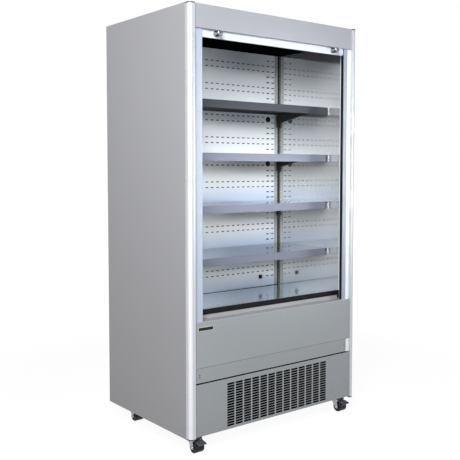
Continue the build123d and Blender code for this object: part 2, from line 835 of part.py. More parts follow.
def make_blind_bracket():
    """Left bracket that carries the roller from the canopy."""
    y, z = roller_place()
    x1 = -(jamb_inner - roller_end_gap) - face_gap
    x0 = x1 - bracket_sheet
    plate = block(x0, x1, y - 14.0, y + 14.0, z - 14.0, roof_foam_under)
    plate = plate + block(x0 - 18.0, x1, y - 14.0, y + 14.0, roof_foam_under - bracket_sheet, roof_foam_under)
    return plate - rod_x(pin_diameter / 2 + running_fit, y, z, x0, x1)


# ---------------------------------------------------------------- refrigeration
def fin_block(x0, x1, y0, y1, z0, z1):
    """Coil as a row of upright fins on a flat header, between two end plates."""
    count = int((x1 - x0 - fin_thickness) / fin_pitch)
    pitch = (x1 - x0 - fin_thickness) / count
    fins = [Pos(x0 + fin_thickness / 2 + n * pitch, (y0 + y1) / 2) * Rectangle(fin_thickness, y1 - y0)
            for n in range(count + 1)]
    header = Pos((x0 + x1) / 2, (y0 + y1) / 2) * Rectangle(x1 - x0, header_depth)
    outline = Sketch() + header + fins
    return extrude(Plane.XY.offset(z0) * outline, z1 - z0)


def fan_stator(x, y, z, opening, plate):
    """Fan plate with its inlet ring, motor, arms and shaft; the fan blows into the depth."""
    ring = rod_y(opening / 2 + ring_sheet, x, z, y - ring_depth, y + fan_plate_sheet)
    motor_front = y + fan_plate_sheet + 6.0
    motor = rod_y(motor_diameter / 2, x, z, motor_front, motor_front + motor_length)
    arms = []
    for angle in (45.0, 135.0):
        arm = Box(opening + 12.0, 4.0, 9.0)
        arms.append(Pos(x, motor_front + 2.0, z) * Rot(0, angle, 0) * arm)
    feet = []
    for angle in (45.0, 135.0, 225.0, 315.0):
        foot_x = x + cos(radians(angle)) * (opening / 2 + 4.0)
        foot_z = z + sin(radians(angle)) * (opening / 2 + 4.0)
        feet.append(rod_y(4.0, foot_x, foot_z, y, motor_front + 4.0))
    shaft = rod_y(fan_shaft / 2, x, z, y - ring_depth + 4.0, motor_front)
    whole = plate + ring - rod_y(opening / 2, x, z, y - ring_depth, y + fan_plate_sheet)
    whole = whole + motor + shaft
    for piece in arms + feet:
        whole = whole + piece
    return whole


def fan_rotor(x, y, z, opening):
    """Hub with pitched blades on the motor shaft."""
    back = y + fan_plate_sheet + 4.0
    front = back - fan_hub_length
    rotor = rod_y(fan_hub / 2, x, z, front, back)
    reach = opening / 2 - fan_tip_gap
    blade = Box(reach - fan_hub / 2 + 6.0, 2.5, fan_hub_length * 0.8)
    root = (reach + fan_hub / 2 - 6.0) / 2
    for n in range(fan_blades):
        turn = 360.0 / fan_blades * n
        rotor = rotor + Pos(x, (front + back) / 2, z) * Rot(0, turn, 0) * Pos(root, 0, 0) * \
            Rot(fan_pitch, 0, 0) * blade
    return rotor - rod_y(fan_shaft / 2 + running_fit, x, z, front, back)


def evaporator_fan_place():
    """Axis of the evaporator fan."""
    return 0.0, fan_setback, well_floor + (deck_under - rail_size - well_floor) / 2


def make_evaporator():
    """Evaporator coil in the well below the deck."""
    return fin_block(-evaporator_width / 2, evaporator_width / 2, evaporator_setback,
                     evaporator_setback + evaporator_depth, well_floor,
                     well_floor + evaporator_height)


def make_evaporator_fan_plate():
    """Partition below the deck with the evaporator fan's motor."""
    x, y, z = evaporator_fan_place()
    top = deck_under - rail_size
    plate = block(-inner_half, inner_half, y, y + fan_plate_sheet, well_floor, top)
    return fan_stator(x, y, z, evaporator_fan, plate)


def condenser_fan_place():
    """Axis of the condenser fan."""
    y = condenser_setback + condenser_depth + ring_depth
    return condenser_middle, y, pan_top + condenser_height / 2


def make_condenser():
    """Condenser coil behind the louvres."""
    x = condenser_middle
    return fin_block(x - condenser_width / 2, x + condenser_width / 2, condenser_setback,
                     condenser_setback + condenser_depth, pan_top, pan_top + condenser_height)


def make_condenser_fan_plate():
    """Cowl on the back of the condenser with the fan's motor."""
    x, y, z = condenser_fan_place()
    plate = block(x - condenser_width / 2, x + condenser_width / 2, y, y + fan_plate_sheet,
                  pan_top, pan_top + condenser_height)
    for side in (-1, 1):
        edge = x + side * (condenser_width / 2 - fan_plate_sheet / 2)
        plate = plate + block(edge - fan_plate_sheet / 2, edge + fan_plate_sheet / 2,
                              y - ring_depth, y, pan_top, pan_top + condenser_height)
    return fan_stator(x, y, z, condenser_fan, plate)


def make_compressor():
    """Hermetic compressor can with domed top, stub pipes, terminal cover and feet."""
    radius = compressor_diameter / 2
    foot = pan_top + 16.0
    can = rod_z(radius, compressor_x, compressor_y, foot, foot + compressor_height)
    can = fillet(can.edges().filter_by(GeomType.CIRCLE), radius / 3)
    plate = block(compressor_x - 105.0, compressor_x + 105.0, compressor_y - 62.0, compressor_y + 62.0,
                  foot, foot + 4.0)
    can = can + plate
    for x in (-90.0, 90.0):
        for y in (-48.0, 48.0):
            can = can + rod_z(12.0, compressor_x + x, compressor_y + y, pan_top, foot)
    cover = block(compressor_x - 28.0, compressor_x + 28.0, compressor_y - radius - 24.0,
                  compressor_y - radius + 14.0, foot + 60.0, foot + 120.0)
    inlet_z = suction_route()[0][2]
    reach = radius + stub_length
    inlet = rod_y(suction_pipe / 2 + 3.0, compressor_x, inlet_z, compressor_y, compressor_y + reach)
    outlet_z = discharge_route()[0][2]
    outlet = rod_x(liquid_pipe / 2 + 3.0, compressor_y, outlet_z, compressor_x - reach, compressor_x)
    return can + cover + inlet + outlet


def make_drip_tray():
    """Pan in which the defrost water evaporates."""
    x0, x1 = tray_x - tray_width / 2, tray_x + tray_width / 2
    y0, y1 = tray_y - tray_depth / 2, tray_y + tray_depth / 2
    tray = block(x0, x1, y0, y1, pan_top, pan_top + tray_height)
    inside = block(x0 + tray_sheet, x1 - tray_sheet, y0 + tray_sheet, y1 - tray_sheet,
                   pan_top + tray_sheet, pan_top + tray_height)
    return tray - inside


def make_control_box():
    """Electrical box with its controller, standing on the chassis pan."""
    box = block(box_x - box_width / 2, box_x + box_width / 2, box_y - box_depth / 2,
                box_y + box_depth / 2, pan_top, pan_top + box_height)
    box = fillet(box.edges().filter_by(Axis.Z), 6.0)
    face = block(box_x - 39.0, box_x + 39.0, box_y - box_depth / 2 - 6.0, box_y - box_depth / 2 + 1.0,
                 pan_top + box_height - 50.0, pan_top + box_height - 15.0)
    return box + face


def suction_route():
    """From the back of the compressor up into the well and forward to the evaporator."""
    low = pan_top + compressor_height * 0.75
    start_y = compressor_y + compressor_diameter / 2 + stub_length
    coil_rear = evaporator_setback + evaporator_depth
    y = coil_rear + pipe_alley
    high = well_floor + evaporator_height * 0.7
    return [(compressor_x, start_y, low), (compressor_x, y, low), (compressor_x, y, high),
            (compressor_x, coil_rear, high)]


def liquid_route():
    """From the top of the condenser back, up into the well and forward to the evaporator."""
    x = condenser_middle - condenser_width / 2 + 30.0
    start_y = condenser_setback + condenser_depth / 2
    low = pan_top + condenser_height + 18.0
    coil_rear = evaporator_setback + evaporator_depth
    y = coil_rear + pipe_alley + 15.0
    high = well_floor + evaporator_height * 0.3
    return [(x, start_y, pan_top + condenser_height), (x, start_y, low), (x, y, low), (x, y, high),
            (x + 60.0, y, high), (x + 60.0, coil_rear, high)]


def discharge_route():
    """From the side of the compressor to the end of the condenser."""
    z = pan_top + condenser_height * 0.8
    start_x = compressor_x - compressor_diameter / 2 - stub_length
    coil_x = condenser_middle + condenser_width / 2
    coil_y = condenser_setback + condenser_depth / 2
    return [(start_x, compressor_y, z), (coil_x + 25.0, compressor_y, z), (coil_x + 25.0, coil_y, z),
            (coil_x, coil_y, z)]


def floor_pipes():
    """Where pipes pass through the well floor: across, depth, diameter."""
    suction = suction_route()[1]
    liquid = liquid_route()[3]
    return [(suction[0], suction[1], suction_pipe), (liquid[0], liquid[1], liquid_pipe),
            (tray_x, tray_y, drain_pipe)]


def tube(route, diameter, bend):
    """A round tube along straight runs joined by bends."""
    path = FilletPolyline(*route, radius=bend)
    start = Vector(*route[0])
    ahead = (Vector(*route[1]) - start).normalized()
    return sweep(Plane(origin=start, z_dir=ahead) * Circle(diameter / 2), path=path)


def make_pipes():
    """Suction, liquid and discharge lines, and the drain above the drip tray."""
    suction = tube(suction_route(), suction_pipe, 15.0)
    liquid = tube(liquid_route(), liquid_pipe, 12.0)
    discharge = tube(discharge_route(), liquid_pipe, 12.0)
    low = pan_top + tray_height - 10.0
    drain = rod_z(drain_pipe / 2, tray_x, tray_y, low, well_floor + 1.5)
    drain = drain + rod_z(drain_pipe, tray_x, tray_y, well_floor, well_floor + 1.5)
    drain = drain - rod_z(drain_pipe / 2 - 1.5, tray_x, tray_y, low, well_floor + 1.5)
    return suction, liquid, discharge, drain


# ---------------------------------------------------------------- chassis and castors
def castor_places():
    """Swivel axes: name, across, depth."""
    x = half - castor_inset_x
    x_rear = half - castor_inset_x_rear
    rear = depth - castor_inset_rear
    return [("front_left", -x, castor_inset_front), ("front_right", x, castor_inset_front),
            ("rear_left", -x_rear, rear), ("rear_right", x_rear, rear)]


def bolt_places():
    """Castor bolts."""
    reach = castor_bolt_pitch / 2
    return [(x + dx * reach, y + dy * reach) for _, x, y in castor_places()
            for dx in (-1, 1) for dy in (-1, 1)]


def make_chassis():
    """Folded pan with upturned edges and thickened pads over the castors."""
    edge = half - skin
    y0 = post_width + skin
    y1 = rear_face - skin
    outer = block(-edge, edge, y0, y1, castor_height, castor_height + pan_wall)
    inner = block(-edge + pan_sheet, edge - pan_sheet, y0 + pan_sheet, y1 - pan_sheet,
                  pan_top, castor_height + pan_wall)
    pan = outer - inner
    for _, x, y in castor_places():
        x_out = edge - pan_sheet
        sign = 1 if x > 0 else -1
        near = abs(x) - pad_size / 2
        x0, x1 = sorted((sign * near, sign * x_out))
        pad_front = max(y - pad_size / 2, y0 + pan_sheet)
        pan = pan + block(x0, x1, pad_front, y + pad_size / 2, pan_top, pan_top + pad_sheet)
    for x, y in bolt_places():
        pan = pan - rod_z(castor_bolt / 2 + bolt_clearance, x, y, castor_height, pan_top + pad_sheet)
    return pan


def make_castor_plate(x, y):
    """Top plate of a castor with its king pin and the pin's riveted head."""
    reach = castor_plate_size / 2
    plate = block(x - reach, x + reach, y - reach, y + reach, plate_under, castor_height)
    plate = fillet(plate.edges().filter_by(Axis.Z), 5.0)
    head_bottom = plate_under - castor_head_height - 2 * face_gap
    pin = rod_z(king_pin / 2, x, y, head_bottom, plate_under)
    rivet = rod_z(king_pin / 2 + 3.0, x, y, head_bottom - 2.0, head_bottom)
    plate = plate + pin + rivet
    for dx in (-1, 1):
        for dy in (-1, 1):
            hole_x = x + dx * castor_bolt_pitch / 2
            hole_y = y + dy * castor_bolt_pitch / 2
            plate = plate - rod_z(castor_bolt / 2 + bolt_clearance, hole_x, hole_y, plate_under, castor_height)
    return plate


def make_fork(x, y, braked):
    """Swivel head, two legs and the wheel's axle; braked forks carry the pedal's pin."""
    top = plate_under - face_gap
    web_bottom = top - castor_head_height
    inner = wheel_width / 2 + wheel_side_gap
    outer = inner + castor_leg
    head = rod_z(castor_head / 2, x, y, web_bottom, top)
    front_edge, rear_edge = y - castor_head / 2, y + castor_head / 2 - 6.0
    saddle_top = web_bottom + 4.0
    saddle = block(x - outer, x + outer, front_edge, rear_edge, web_bottom, saddle_top)
    axle_y, axle_z = y - castor_trail, wheel_radius
    pin_y, pin_z = y - pedal_pin_ahead, castor_height - pedal_pin_drop
    leg_face = make_hull([
        (Pos(axle_y, axle_z) * Circle(axle_boss / 2)).edge(),
        (Pos(pin_y, pin_z) * Circle(pedal_pin)).edge(),
        Line((front_edge, saddle_top), (rear_edge, saddle_top)),
    ])
    leg = extrude(Plane.YZ.offset(x - outer) * leg_face, castor_leg)
    fork = head + saddle + leg + Pos(outer + inner, 0, 0) * leg
    fork = fork - rod_z(king_pin / 2 + running_fit, x, y, web_bottom, top)
    hole = rod_x(axle_diameter / 2 + running_fit, axle_y, axle_z, x - outer, x + outer)
    fork = fork - hole
    if braked:
        fork = fork + rod_x(pedal_pin / 2, pin_y, pin_z, x - outer, x + outer)
    axle = rod_x(axle_diameter / 2, axle_y, axle_z, x - outer, x + outer)
    for side in (-1, 1):
        head_x = sorted((x + side * outer, x + side * (outer + 3.0)))
        axle = axle + rod_x(axle_head / 2, axle_y, axle_z, head_x[0], head_x[1])
    return fork, axle


def make_wheel(x, y):
    """Castor wheel with a rounded tread, dished sides and a plain bore."""
    axle_y = y - castor_trail
    wheel = rod_x(wheel_radius, axle_y, wheel_radius, x - wheel_width / 2, x + wheel_width / 2)
    wheel = fillet(wheel.edges().filter_by(GeomType.CIRCLE), wheel_edge)
    for side in (-1, 1):
        face = x + side * wheel_width / 2
        dish_x = sorted((face, face - side * 2.5))
        dish = rod_x(wheel_radius * 0.66, axle_y, wheel_radius, dish_x[0], dish_x[1])
        boss = rod_x(axle_boss / 2 - 1.0, axle_y, wheel_radius, dish_x[0], dish_x[1])
        wheel = wheel - (dish - boss)
    bore = rod_x(axle_diameter / 2 + running_fit, axle_y, wheel_radius, x - wheel_width / 2,
                 x + wheel_width / 2)
    return wheel - bore


def make_pedal(x, y):
    """Brake pedal: a barrel on its pin, a neck and a broad sloping plate with raised rims."""
    pin_y, pin_z = y - pedal_pin_ahead, castor_height - pedal_pin_drop
    inner = wheel_width / 2 + wheel_side_gap - face_gap
    barrel = rod_x(pedal_barrel / 2, 0, 0, -inner, inner)
    low = -pedal_barrel / 2
    neck_half, wide = pedal_neck_width / 2, pedal_width / 2
    tip = -pedal_neck - pedal_length
    outline = [(-neck_half, 0), (-neck_half, -pedal_neck * 0.6), (-wide, -pedal_neck), (-wide, tip),
               (wide, tip), (wide, -pedal_neck), (neck_half, -pedal_neck * 0.6), (neck_half, 0)]
    plate = along_z(outline, low, low + pedal_sheet)
    rim = block(-wide, -wide + pedal_sheet, tip, -pedal_neck, low, low + pedal_rim)
    body = barrel + plate + rim + mirrored(rim)
    body = body - rod_x(pedal_pin / 2 + running_fit, 0, 0, -inner, inner)
    return Pos(x, pin_y, pin_z) * Rot(pedal_slope, 0, 0) * body


def make_fasteners():
    """Screws of the service strip and rear panel, and the bolts of the castors."""
    pieces = []
    for x, z in screw_places():
        head = rod_y(screw_head / 2, x, z, panel_front - screw_rise, panel_front)
        head = fillet(head.edges().filter_by(GeomType.CIRCLE).group_by(Axis.Y)[0], screw_rise * 0.6)
        pieces.append(head + rod_y(screw_shank / 2, x, z, panel_front, panel_front + screw_length))
    for x, z in rear_screw_places():
        head = rod_y(screw_head / 2, x, z, rear_face, rear_face + screw_rise)
        pieces.append(head + rod_y(screw_shank / 2, x, z, rear_face - skin, rear_face))
    for x, y in bolt_places():
        head = extrude(Pos(x, y, plate_under - 5.0) * RegularPolygon(castor_bolt * 0.8, 6), 5.0)
        seat = pan_top + pad_sheet
        nut = extrude(Pos(x, y, seat) * RegularPolygon(castor_nut, 6), castor_nut_height)
        shank = rod_z(castor_bolt / 2, x, y, plate_under, seat + castor_nut_height + 3.0)
        pieces.append(head + nut + shank)
    return pieces


def main():
    os.makedirs("parts", exist_ok=True)

    side = make_side_panel()
    save("side_panel_left", side)
    save("side_panel_right", mirrored(side))
    post = make_corner_post()
    save("corner_posts", post, mirrored(post))
    cap_top, cap_bottom = make_post_caps()
    save("post_end_caps", cap_top, cap_bottom, mirrored(cap_top), mirrored(cap_bottom))
    save("rear_panel", make_rear_panel())
    save("roof_panel", make_roof())
    save("canopy_fascia", make_fascia())
    save("foam_insulation", *make_foam())
    save("inner_liners", *make_liners())

    jamb = make_jamb()
    save("jambs", jamb, mirrored(jamb))
    guide = make_guide()
    save("guide_channels", guide, mirrored(guide))
    save("sill", make_sill())
    save("sill_band", make_band())
    save("return_grille", make_return_grille())
    save("air_outlet", make_outlet())
    save("ceiling_panel", make_ceiling())
    save("canopy_lamp", make_lamp())

    save("front_panel", make_front_panel())
    save("service_strip", make_service_strip())
    save("strip_end_cap", make_strip_cap())
    save("grille_panel", make_grille_panel())
    save("badge_plate", make_badge())
    save("fasteners", *make_fasteners())

    holes = grommet_places()
    save("rear_wall_upper", wall_sheet(wall_joint, ceiling_height, upper_first_row, upper_rows, (1, 2), []))
    save("rear_wall_lower", wall_sheet(deck_top + 2.0, wall_joint - panel_joint, lower_first_row,
                                       lower_rows, (0, 1), holes))
    upright = make_upright()
    save("slotted_uprights", upright, mirrored(upright))
    save("wall_fittings", *make_wall_fittings(), make_gland())
    save("base_deck", make_deck())
    brackets = []
    for n in range(shelf_count):
        save("shelf_%d" % (n + 1), make_shelf(n))
        bracket = make_bracket(n)
        brackets += [bracket, mirrored(bracket)]
    save("shelf_brackets", *brackets)

    save("blind_bar", make_bar())
    save("blind_knobs", *make_knobs())
    save("blind_fabric", make_fabric())
    save("blind_roller", make_roller())
    blind_bracket = make_blind_bracket()
    save("blind_brackets", blind_bracket, mirrored(blind_bracket))

    save("evaporator_coil", make_evaporator())
    save("evaporator_fan_plate", make_evaporator_fan_plate())
    save("evaporator_rotor", fan_rotor(*evaporator_fan_place(), evaporator_fan))
    save("condenser_coil", make_condenser())
    save("condenser_fan_cowl", make_condenser_fan_plate())
    save("condenser_rotor", fan_rotor(*condenser_fan_place(), condenser_fan))
    save("compressor", make_compressor())
    save("drip_tray", make_drip_tray())
    save("control_box", make_control_box())
    save("pipework", *make_pipes())

    save("chassis_pan", make_chassis())
    save("castor_plates", *[make_castor_plate(x, y) for _, x, y in castor_places()])
    for name, x, y in castor_places():
        braked = name.startswith("front")
        fork, axle = make_fork(x, y, braked)
        save("castor_fork_" + name, fork, axle)
        save("castor_wheel_" + name, make_wheel(x, y))
        if braked:
            save("brake_pedal_" + name, make_pedal(x, y))


main()
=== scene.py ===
import json
import math

import bpy
import numpy as np
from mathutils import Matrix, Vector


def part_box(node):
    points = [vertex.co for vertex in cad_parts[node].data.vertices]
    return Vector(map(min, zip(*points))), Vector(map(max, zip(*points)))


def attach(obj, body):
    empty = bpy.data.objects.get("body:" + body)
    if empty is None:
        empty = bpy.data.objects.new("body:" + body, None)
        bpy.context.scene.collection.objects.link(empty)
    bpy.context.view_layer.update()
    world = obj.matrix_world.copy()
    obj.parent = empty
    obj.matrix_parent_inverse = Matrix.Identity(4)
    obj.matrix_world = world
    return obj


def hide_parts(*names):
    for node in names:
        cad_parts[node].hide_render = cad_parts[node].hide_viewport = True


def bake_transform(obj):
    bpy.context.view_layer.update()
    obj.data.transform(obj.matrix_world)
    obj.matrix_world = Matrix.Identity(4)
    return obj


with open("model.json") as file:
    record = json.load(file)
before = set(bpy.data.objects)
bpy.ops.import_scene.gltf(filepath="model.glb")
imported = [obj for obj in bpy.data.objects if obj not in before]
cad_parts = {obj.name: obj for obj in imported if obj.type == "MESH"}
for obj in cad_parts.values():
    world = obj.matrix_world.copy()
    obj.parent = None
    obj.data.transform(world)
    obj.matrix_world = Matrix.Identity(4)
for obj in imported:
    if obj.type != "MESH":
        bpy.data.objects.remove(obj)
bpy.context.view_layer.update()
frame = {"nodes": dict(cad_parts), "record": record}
print("frame loaded:", len(frame["nodes"]), "pieces")


class Wire:  # wraps one output socket; sums and products of wires add Math nodes beside it
    def __init__(self, socket):
        self.socket = socket

    def add(self, kind, settings=None, sockets=None, output=0):
        tree = self.socket.id_data
        node = tree.nodes.new(kind)
        for name, value in (settings or {}).items():
            setattr(node, name, value)
        for name, value in (sockets or {}).items():
            if isinstance(value, Wire):
                tree.links.new(value.socket, node.inputs[name])
            else:
                node.inputs[name].default_value = value
        return Wire(node.outputs[output])

    def math(self, operation, first, second=0.0):
        return self.add("ShaderNodeMath", {"operation": operation}, {0: first, 1: second})

    def __add__(self, other):
        return self.math("ADD", self, other)

    def __radd__(self, other):
        return self.math("ADD", other, self)

    def __sub__(self, other):
        return self.math("SUBTRACT", self, other)

    def __rsub__(self, other):
        return self.math("SUBTRACT", other, self)

    def __mul__(self, other):
        return self.math("MULTIPLY", self, other)

    def __rmul__(self, other):
        return self.math("MULTIPLY", other, self)

    def unsigned(self):  # the value without its sign
        return self.math("ABSOLUTE", self)


def fromScreen(red, green, blue):  # a colour read off a screen, 0 to 255, as linear light
    steps = np.array((red, green, blue)) / 255.0
    linear = np.where(steps <= 0.04045, steps / 12.92, ((steps + 0.055) / 1.055) ** 2.4)
    return tuple(float(value) for value in linear)


def tinted(colour, share):  # the same colour, lighter or darker by a share of itself
    return tuple(min(1.0, value * (1.0 + share)) for value in colour)


def newMaterial(name):  # an empty material and the wire of its place on the object, in metres
    material = bpy.data.materials.new(name)
    material.use_nodes = True
    tree = material.node_tree
    tree.nodes.clear()
    place = Wire(tree.nodes.new("ShaderNodeTexCoord").outputs["Object"])
    return material, place


def finishMaterial(material, shader):
    output = material.node_tree.nodes.new("ShaderNodeOutputMaterial")
    material.node_tree.links.new(shader.socket, output.inputs["Surface"])
    return material


def noise(place, scale, detail=3.0, stretch=None):  # 0 to 1; stretch squeezes or draws it out per axis
    if stretch:
        place = place.add("ShaderNodeVectorMath", {"operation": "MULTIPLY"}, {0: place, 1: stretch})
    return place.add("ShaderNodeTexNoise", {}, {"Vector": place, "Scale": scale, "Detail": detail})


def ease(value, low, high):  # 0 below low, 1 above high, smooth between
    return value.add("ShaderNodeMapRange", {"interpolation_type": "SMOOTHSTEP"},
                     {"Value": value, "From Min": low, "From Max": high})


def fade(value, low, high):  # the reverse: 1 below low, 0 above high
    return 1.0 - ease(value, low, high)


def asColour(colour):
    return colour if isinstance(colour, Wire) else (*colour, 1.0)


def mixColour(factor, first, second):  # 6 and 7 are the node's colour inputs, 2 is its colour output
    return factor.add("ShaderNodeMix", {"data_type": "RGBA"},
                      {0: factor, 6: asColour(first), 7: asColour(second)}, 2)


def relief(height, depth, strength=1.0):  # a Bump node over a height of 0 to 1, depth in metres
    return height.add("ShaderNodeBump", {}, {"Height": height, "Distance": depth, "Strength": strength})


def axes(place):
    split = place.add("ShaderNodeSeparateXYZ", {}, {0: place})
    node = split.socket.node
    return [Wire(node.outputs[k]) for k in range(3)]


def distance(across, up):  # the root of the sum of the two squares
    return across.math("SQRT", across * across + up * up)


def waves(value, pitch):  # a sine of the given pitch, from 0 to 1
    return value.math("SINE", value * (2.0 * math.pi / pitch)) * 0.5 + 0.5


# Rolled sheet with a sprayed coat: slow clouds, a fine fleck, the mill's grain along one axis,
# and a trace of dust that gathers low down.
coat = {"fleckScale": 620.0, "dustScale": 26.0, "cloudRough": 0.08, "dustRough": 0.12,
        "peelScale": 330.0, "peelShare": 0.7, "peelStrength": 0.35}


def paintedSheet(name, look):
    material, place = newMaterial(name)
    x, y, z = axes(place)
    cloud = noise(place, look["cloudScale"], 2.0)
    fleck = noise(place, coat["fleckScale"], 2.0)
    grain = noise(place, 1.0, 3.0, look["grain"])
    dust = fade(z, look["dustFrom"], look["dustTo"]) * noise(place, coat["dustScale"], 4.0)
    shade = cloud * look["cloud"] + fleck * look["fleck"] + grain * look["grainShare"]
    darker = tinted(look["colour"], -look["spread"])
    lighter = tinted(look["colour"], look["spread"])
    colour = mixColour(dust * look["dust"], mixColour(shade, darker, lighter), look["dustColour"])
    if "pattern" in look:
        colour = look["pattern"](x, y, z, colour)
    uneven = (cloud - 0.5) * coat["cloudRough"] + (fleck - 0.5) * look["speckle"]
    rough = look["rough"] + uneven + dust * coat["dustRough"]
    peel = noise(place, coat["peelScale"], 2.0) * coat["peelShare"] + grain * (1.0 - coat["peelShare"])
    shader = place.add("ShaderNodeBsdfPrincipled", {}, {
        "Base Color": colour, "Roughness": rough, "Normal": relief(peel, look["peel"], coat["peelStrength"]),
        "Metallic": look["metallic"], "IOR": 1.5, "Specular IOR Level": look["specular"]})
    return finishMaterial(material, shader)


def paint(colour, **changes):
    look = {"colour": colour, "spread": 0.06, "cloud": 0.45, "cloudScale": 2.2, "fleck": 0.3,
            "grainShare": 0.25, "grain": (9.0, 9.0, 260.0), "rough": 0.36, "speckle": 0.05,
            "metallic": 0.0, "specular": 0.5, "peel": 0.00012,
            "dust": 0.0, "dustFrom": 0.06, "dustTo": 0.3, "dustColour": (0.22, 0.21, 0.2)}
    look.update(changes)
    return look


# Marks that lie at one place of a painted piece. Each takes the place on the object, in metres, and
# the colour so far. A pair is where a mark starts and where it is full, along the axis it is named for.
# painted shade: the dark colour round the uprights' slots
uprightSlots = {"side": (0.4432, 0.4445), "darkening": fromScreen(24, 23, 21)}


def slotColumn(x, y, z, colour):  # painted shade: the uprights are painted dark round their row of slots
    return mixColour(ease(x.unsigned(), *uprightSlots["side"]), colour, uprightSlots["darkening"])


# painted shade and highlight on the right jamb
rightJamb = {"inner": (0.4, 0.41), "innerColour": fromScreen(160, 167, 184),
             "outer": (0.4485, 0.4525), "outerColour": (0.88, 0.92, 0.94)}


def paintedJambLight(x, y, z, colour):  # painted shade and highlight: the right jamb is painted duller, and its outer half brighter
    colour = mixColour(ease(x, *rightJamb["inner"]), colour, rightJamb["innerColour"])
    return mixColour(ease(x, *rightJamb["outer"]), colour, rightJamb["outerColour"])


# painted highlight along the crest of the posts' curve
postHighlight = {"ridge": 0.7985, "past": (0.0262, 0.031), "share": 0.7, "colour": (0.88, 0.89, 0.9)}


def paintedPostHighlight(x, y, z, colour):  # painted highlight: the posts are painted paler along the crest of their curve
    crest = ease(x.unsigned() - y - postHighlight["ridge"], *postHighlight["past"])
    return mixColour(crest * postHighlight["share"], colour, postHighlight["colour"])


# painted shade: the dark colour in the sill's grooves
sillGrooves = {"level": (0.5678, 0.5694), "depth": (-0.326, -0.3245), "grooveShade": fromScreen(50, 48, 45)}


def darkGrooves(x, y, z, colour):  # painted shade lies in the grooves of the ledge
    groove = fade(z, *sillGrooves["level"]) * ease(y, *sillGrooves["depth"])
    return mixColour(groove, colour, sillGrooves["grooveShade"])


# painted reflection and painted light on the walls of the lower bays
bays = {"start": 0.805, "pitch": 0.237, "top": (1.27, 1.3),
        "cold": (0.01, 0.12), "coldShare": 0.6, "coldColour": fromScreen(146, 170, 204),
        "warm": (0.12, 0.2), "warmShare": 0.35, "warmColour": fromScreen(236, 222, 196)}


def paintedBayLight(x, y, z, colour):  # painted light: in the lower bays the wall is painted cool above each shelf, a painted reflection of the tray, and warm below the next
    level = z.add("ShaderNodeMath", {"operation": "WRAP"}, {0: z - bays["start"], 1: bays["pitch"], 2: 0.0})
    low = fade(z, *bays["top"])
    cold = fade(level, *bays["cold"]) * low
    warm = ease(level, *bays["warm"]) * low
    colour = mixColour(warm * bays["warmShare"], colour, bays["warmColour"])
    return mixColour(cold * bays["coldShare"], colour, bays["coldColour"])


def wrapped(value, pitch):  # the distance from the nearest of many places that lie a pitch apart
    half = pitch * 0.5
    return value.add("ShaderNodeMath", {"operation": "WRAP"}, {0: value, 1: -half, 2: half}).unsigned()


# painted shade round the grille's slots and along its upper joint
louvres = {"middle": 0.0055, "columnPitch": 0.0475, "straight": 0.0159, "row": 0.277, "rowPitch": 0.0115,
           "lip": (0.0043, 0.0052), "side": (0.3095, 0.3105), "foot": (0.0865, 0.0875),
           "head": (0.2825, 0.2835), "edge": (0.3012, 0.3022), "slotShade": fromScreen(16, 16, 15)}


def shadedSlots(x, y, z, colour):  # painted shade: rounded slots with a dark lip, and a dark upper edge of the panel at the joint above
    past = wrapped(x - louvres["middle"], louvres["columnPitch"]) - louvres["straight"]
    across = x.math("MAXIMUM", past, 0.0)
    far = distance(across, wrapped(z - louvres["row"], louvres["rowPitch"]))
    inside = fade((x - louvres["middle"]).unsigned(), *louvres["side"]) * ease(z, *louvres["foot"])
    lip = fade(far, *louvres["lip"]) * inside * fade(z, *louvres["head"])
    return mixColour(lip.math("MAXIMUM", lip, ease(z, *louvres["edge"])), colour, louvres["slotShade"])


# painted shade on the lower side panels
sideShade = {"level": (0.1, 1.7), "share": 0.55, "colour": fromScreen(144, 143, 146)}


def paintedFootShade(x, y, z, colour):  # painted shade: the side panels are painted darker towards the floor
    return mixColour(fade(z, *sideShade["level"]) * sideShade["share"], colour, sideShade["colour"])


panelFoot = {"level": (0.3716, 0.3726), "share": 0.6, "colour": fromScreen(70, 70, 70)}


def darkFoot(x, y, z, colour):  # painted shade: a dark hairline along the foot of the front panel, at the seam below it
    return mixColour(fade(z, *panelFoot["level"]) * panelFoot["share"], colour, panelFoot["colour"])


stripFoot = {"level": (0.3076, 0.3088), "colour": fromScreen(24, 24, 24)}


def darkEdge(x, y, z, colour):  # the strip's lower edge is in the shade of the joint below it
    return mixColour(fade(z, *stripFoot["level"]), colour, stripFoot["colour"])


# Polished stainless sheet: a bright metal whose long waves bend the reflections a little,
# with hair-fine polishing lines along one axis. Where a mask darkens it, the sheet is black, rough and no
# metal.
polish = {"smearScale": 14.0, "smearShare": 0.6, "darker": 0.05, "lighter": 0.04, "smearRough": 0.05,
          "waveShare": 0.93, "strength": 0.6, "darkColour": (0.012, 0.012, 0.012), "darkRough": 0.6}


def polishedSheet(name, look):
    material, place = newMaterial(name)
    lines = noise(place, 1.0, 4.0, look["grain"])
    wave = noise(place, look["waveScale"], 1.0)
    smear = noise(place, polish["smearScale"], 4.0)
    shade = smear * polish["smearShare"] + lines * (1.0 - polish["smearShare"])
    darker = tinted(look["colour"], -polish["darker"])
    lighter = tinted(look["colour"], polish["lighter"])
    colour = mixColour(shade, darker, lighter)
    rough = look["rough"] + (lines - 0.5) * look["lineRough"] + (smear - 0.5) * polish["smearRough"]
    metal = look["metallic"]
    if "darkening" in look:
        darkened = look["darkening"](*axes(place))
        colour = mixColour(darkened, colour, polish["darkColour"])
        rough = rough + darkened * polish["darkRough"]
        metal = (1.0 - darkened) * metal
    bent = relief(wave * polish["waveShare"] + lines * (1.0 - polish["waveShare"]),
                  look["waveDepth"], polish["strength"])
    shader = place.add("ShaderNodeBsdfPrincipled", {}, {
        "Base Color": colour, "Roughness": rough, "Normal": bent, "Metallic": metal})
    return finishMaterial(material, shader)


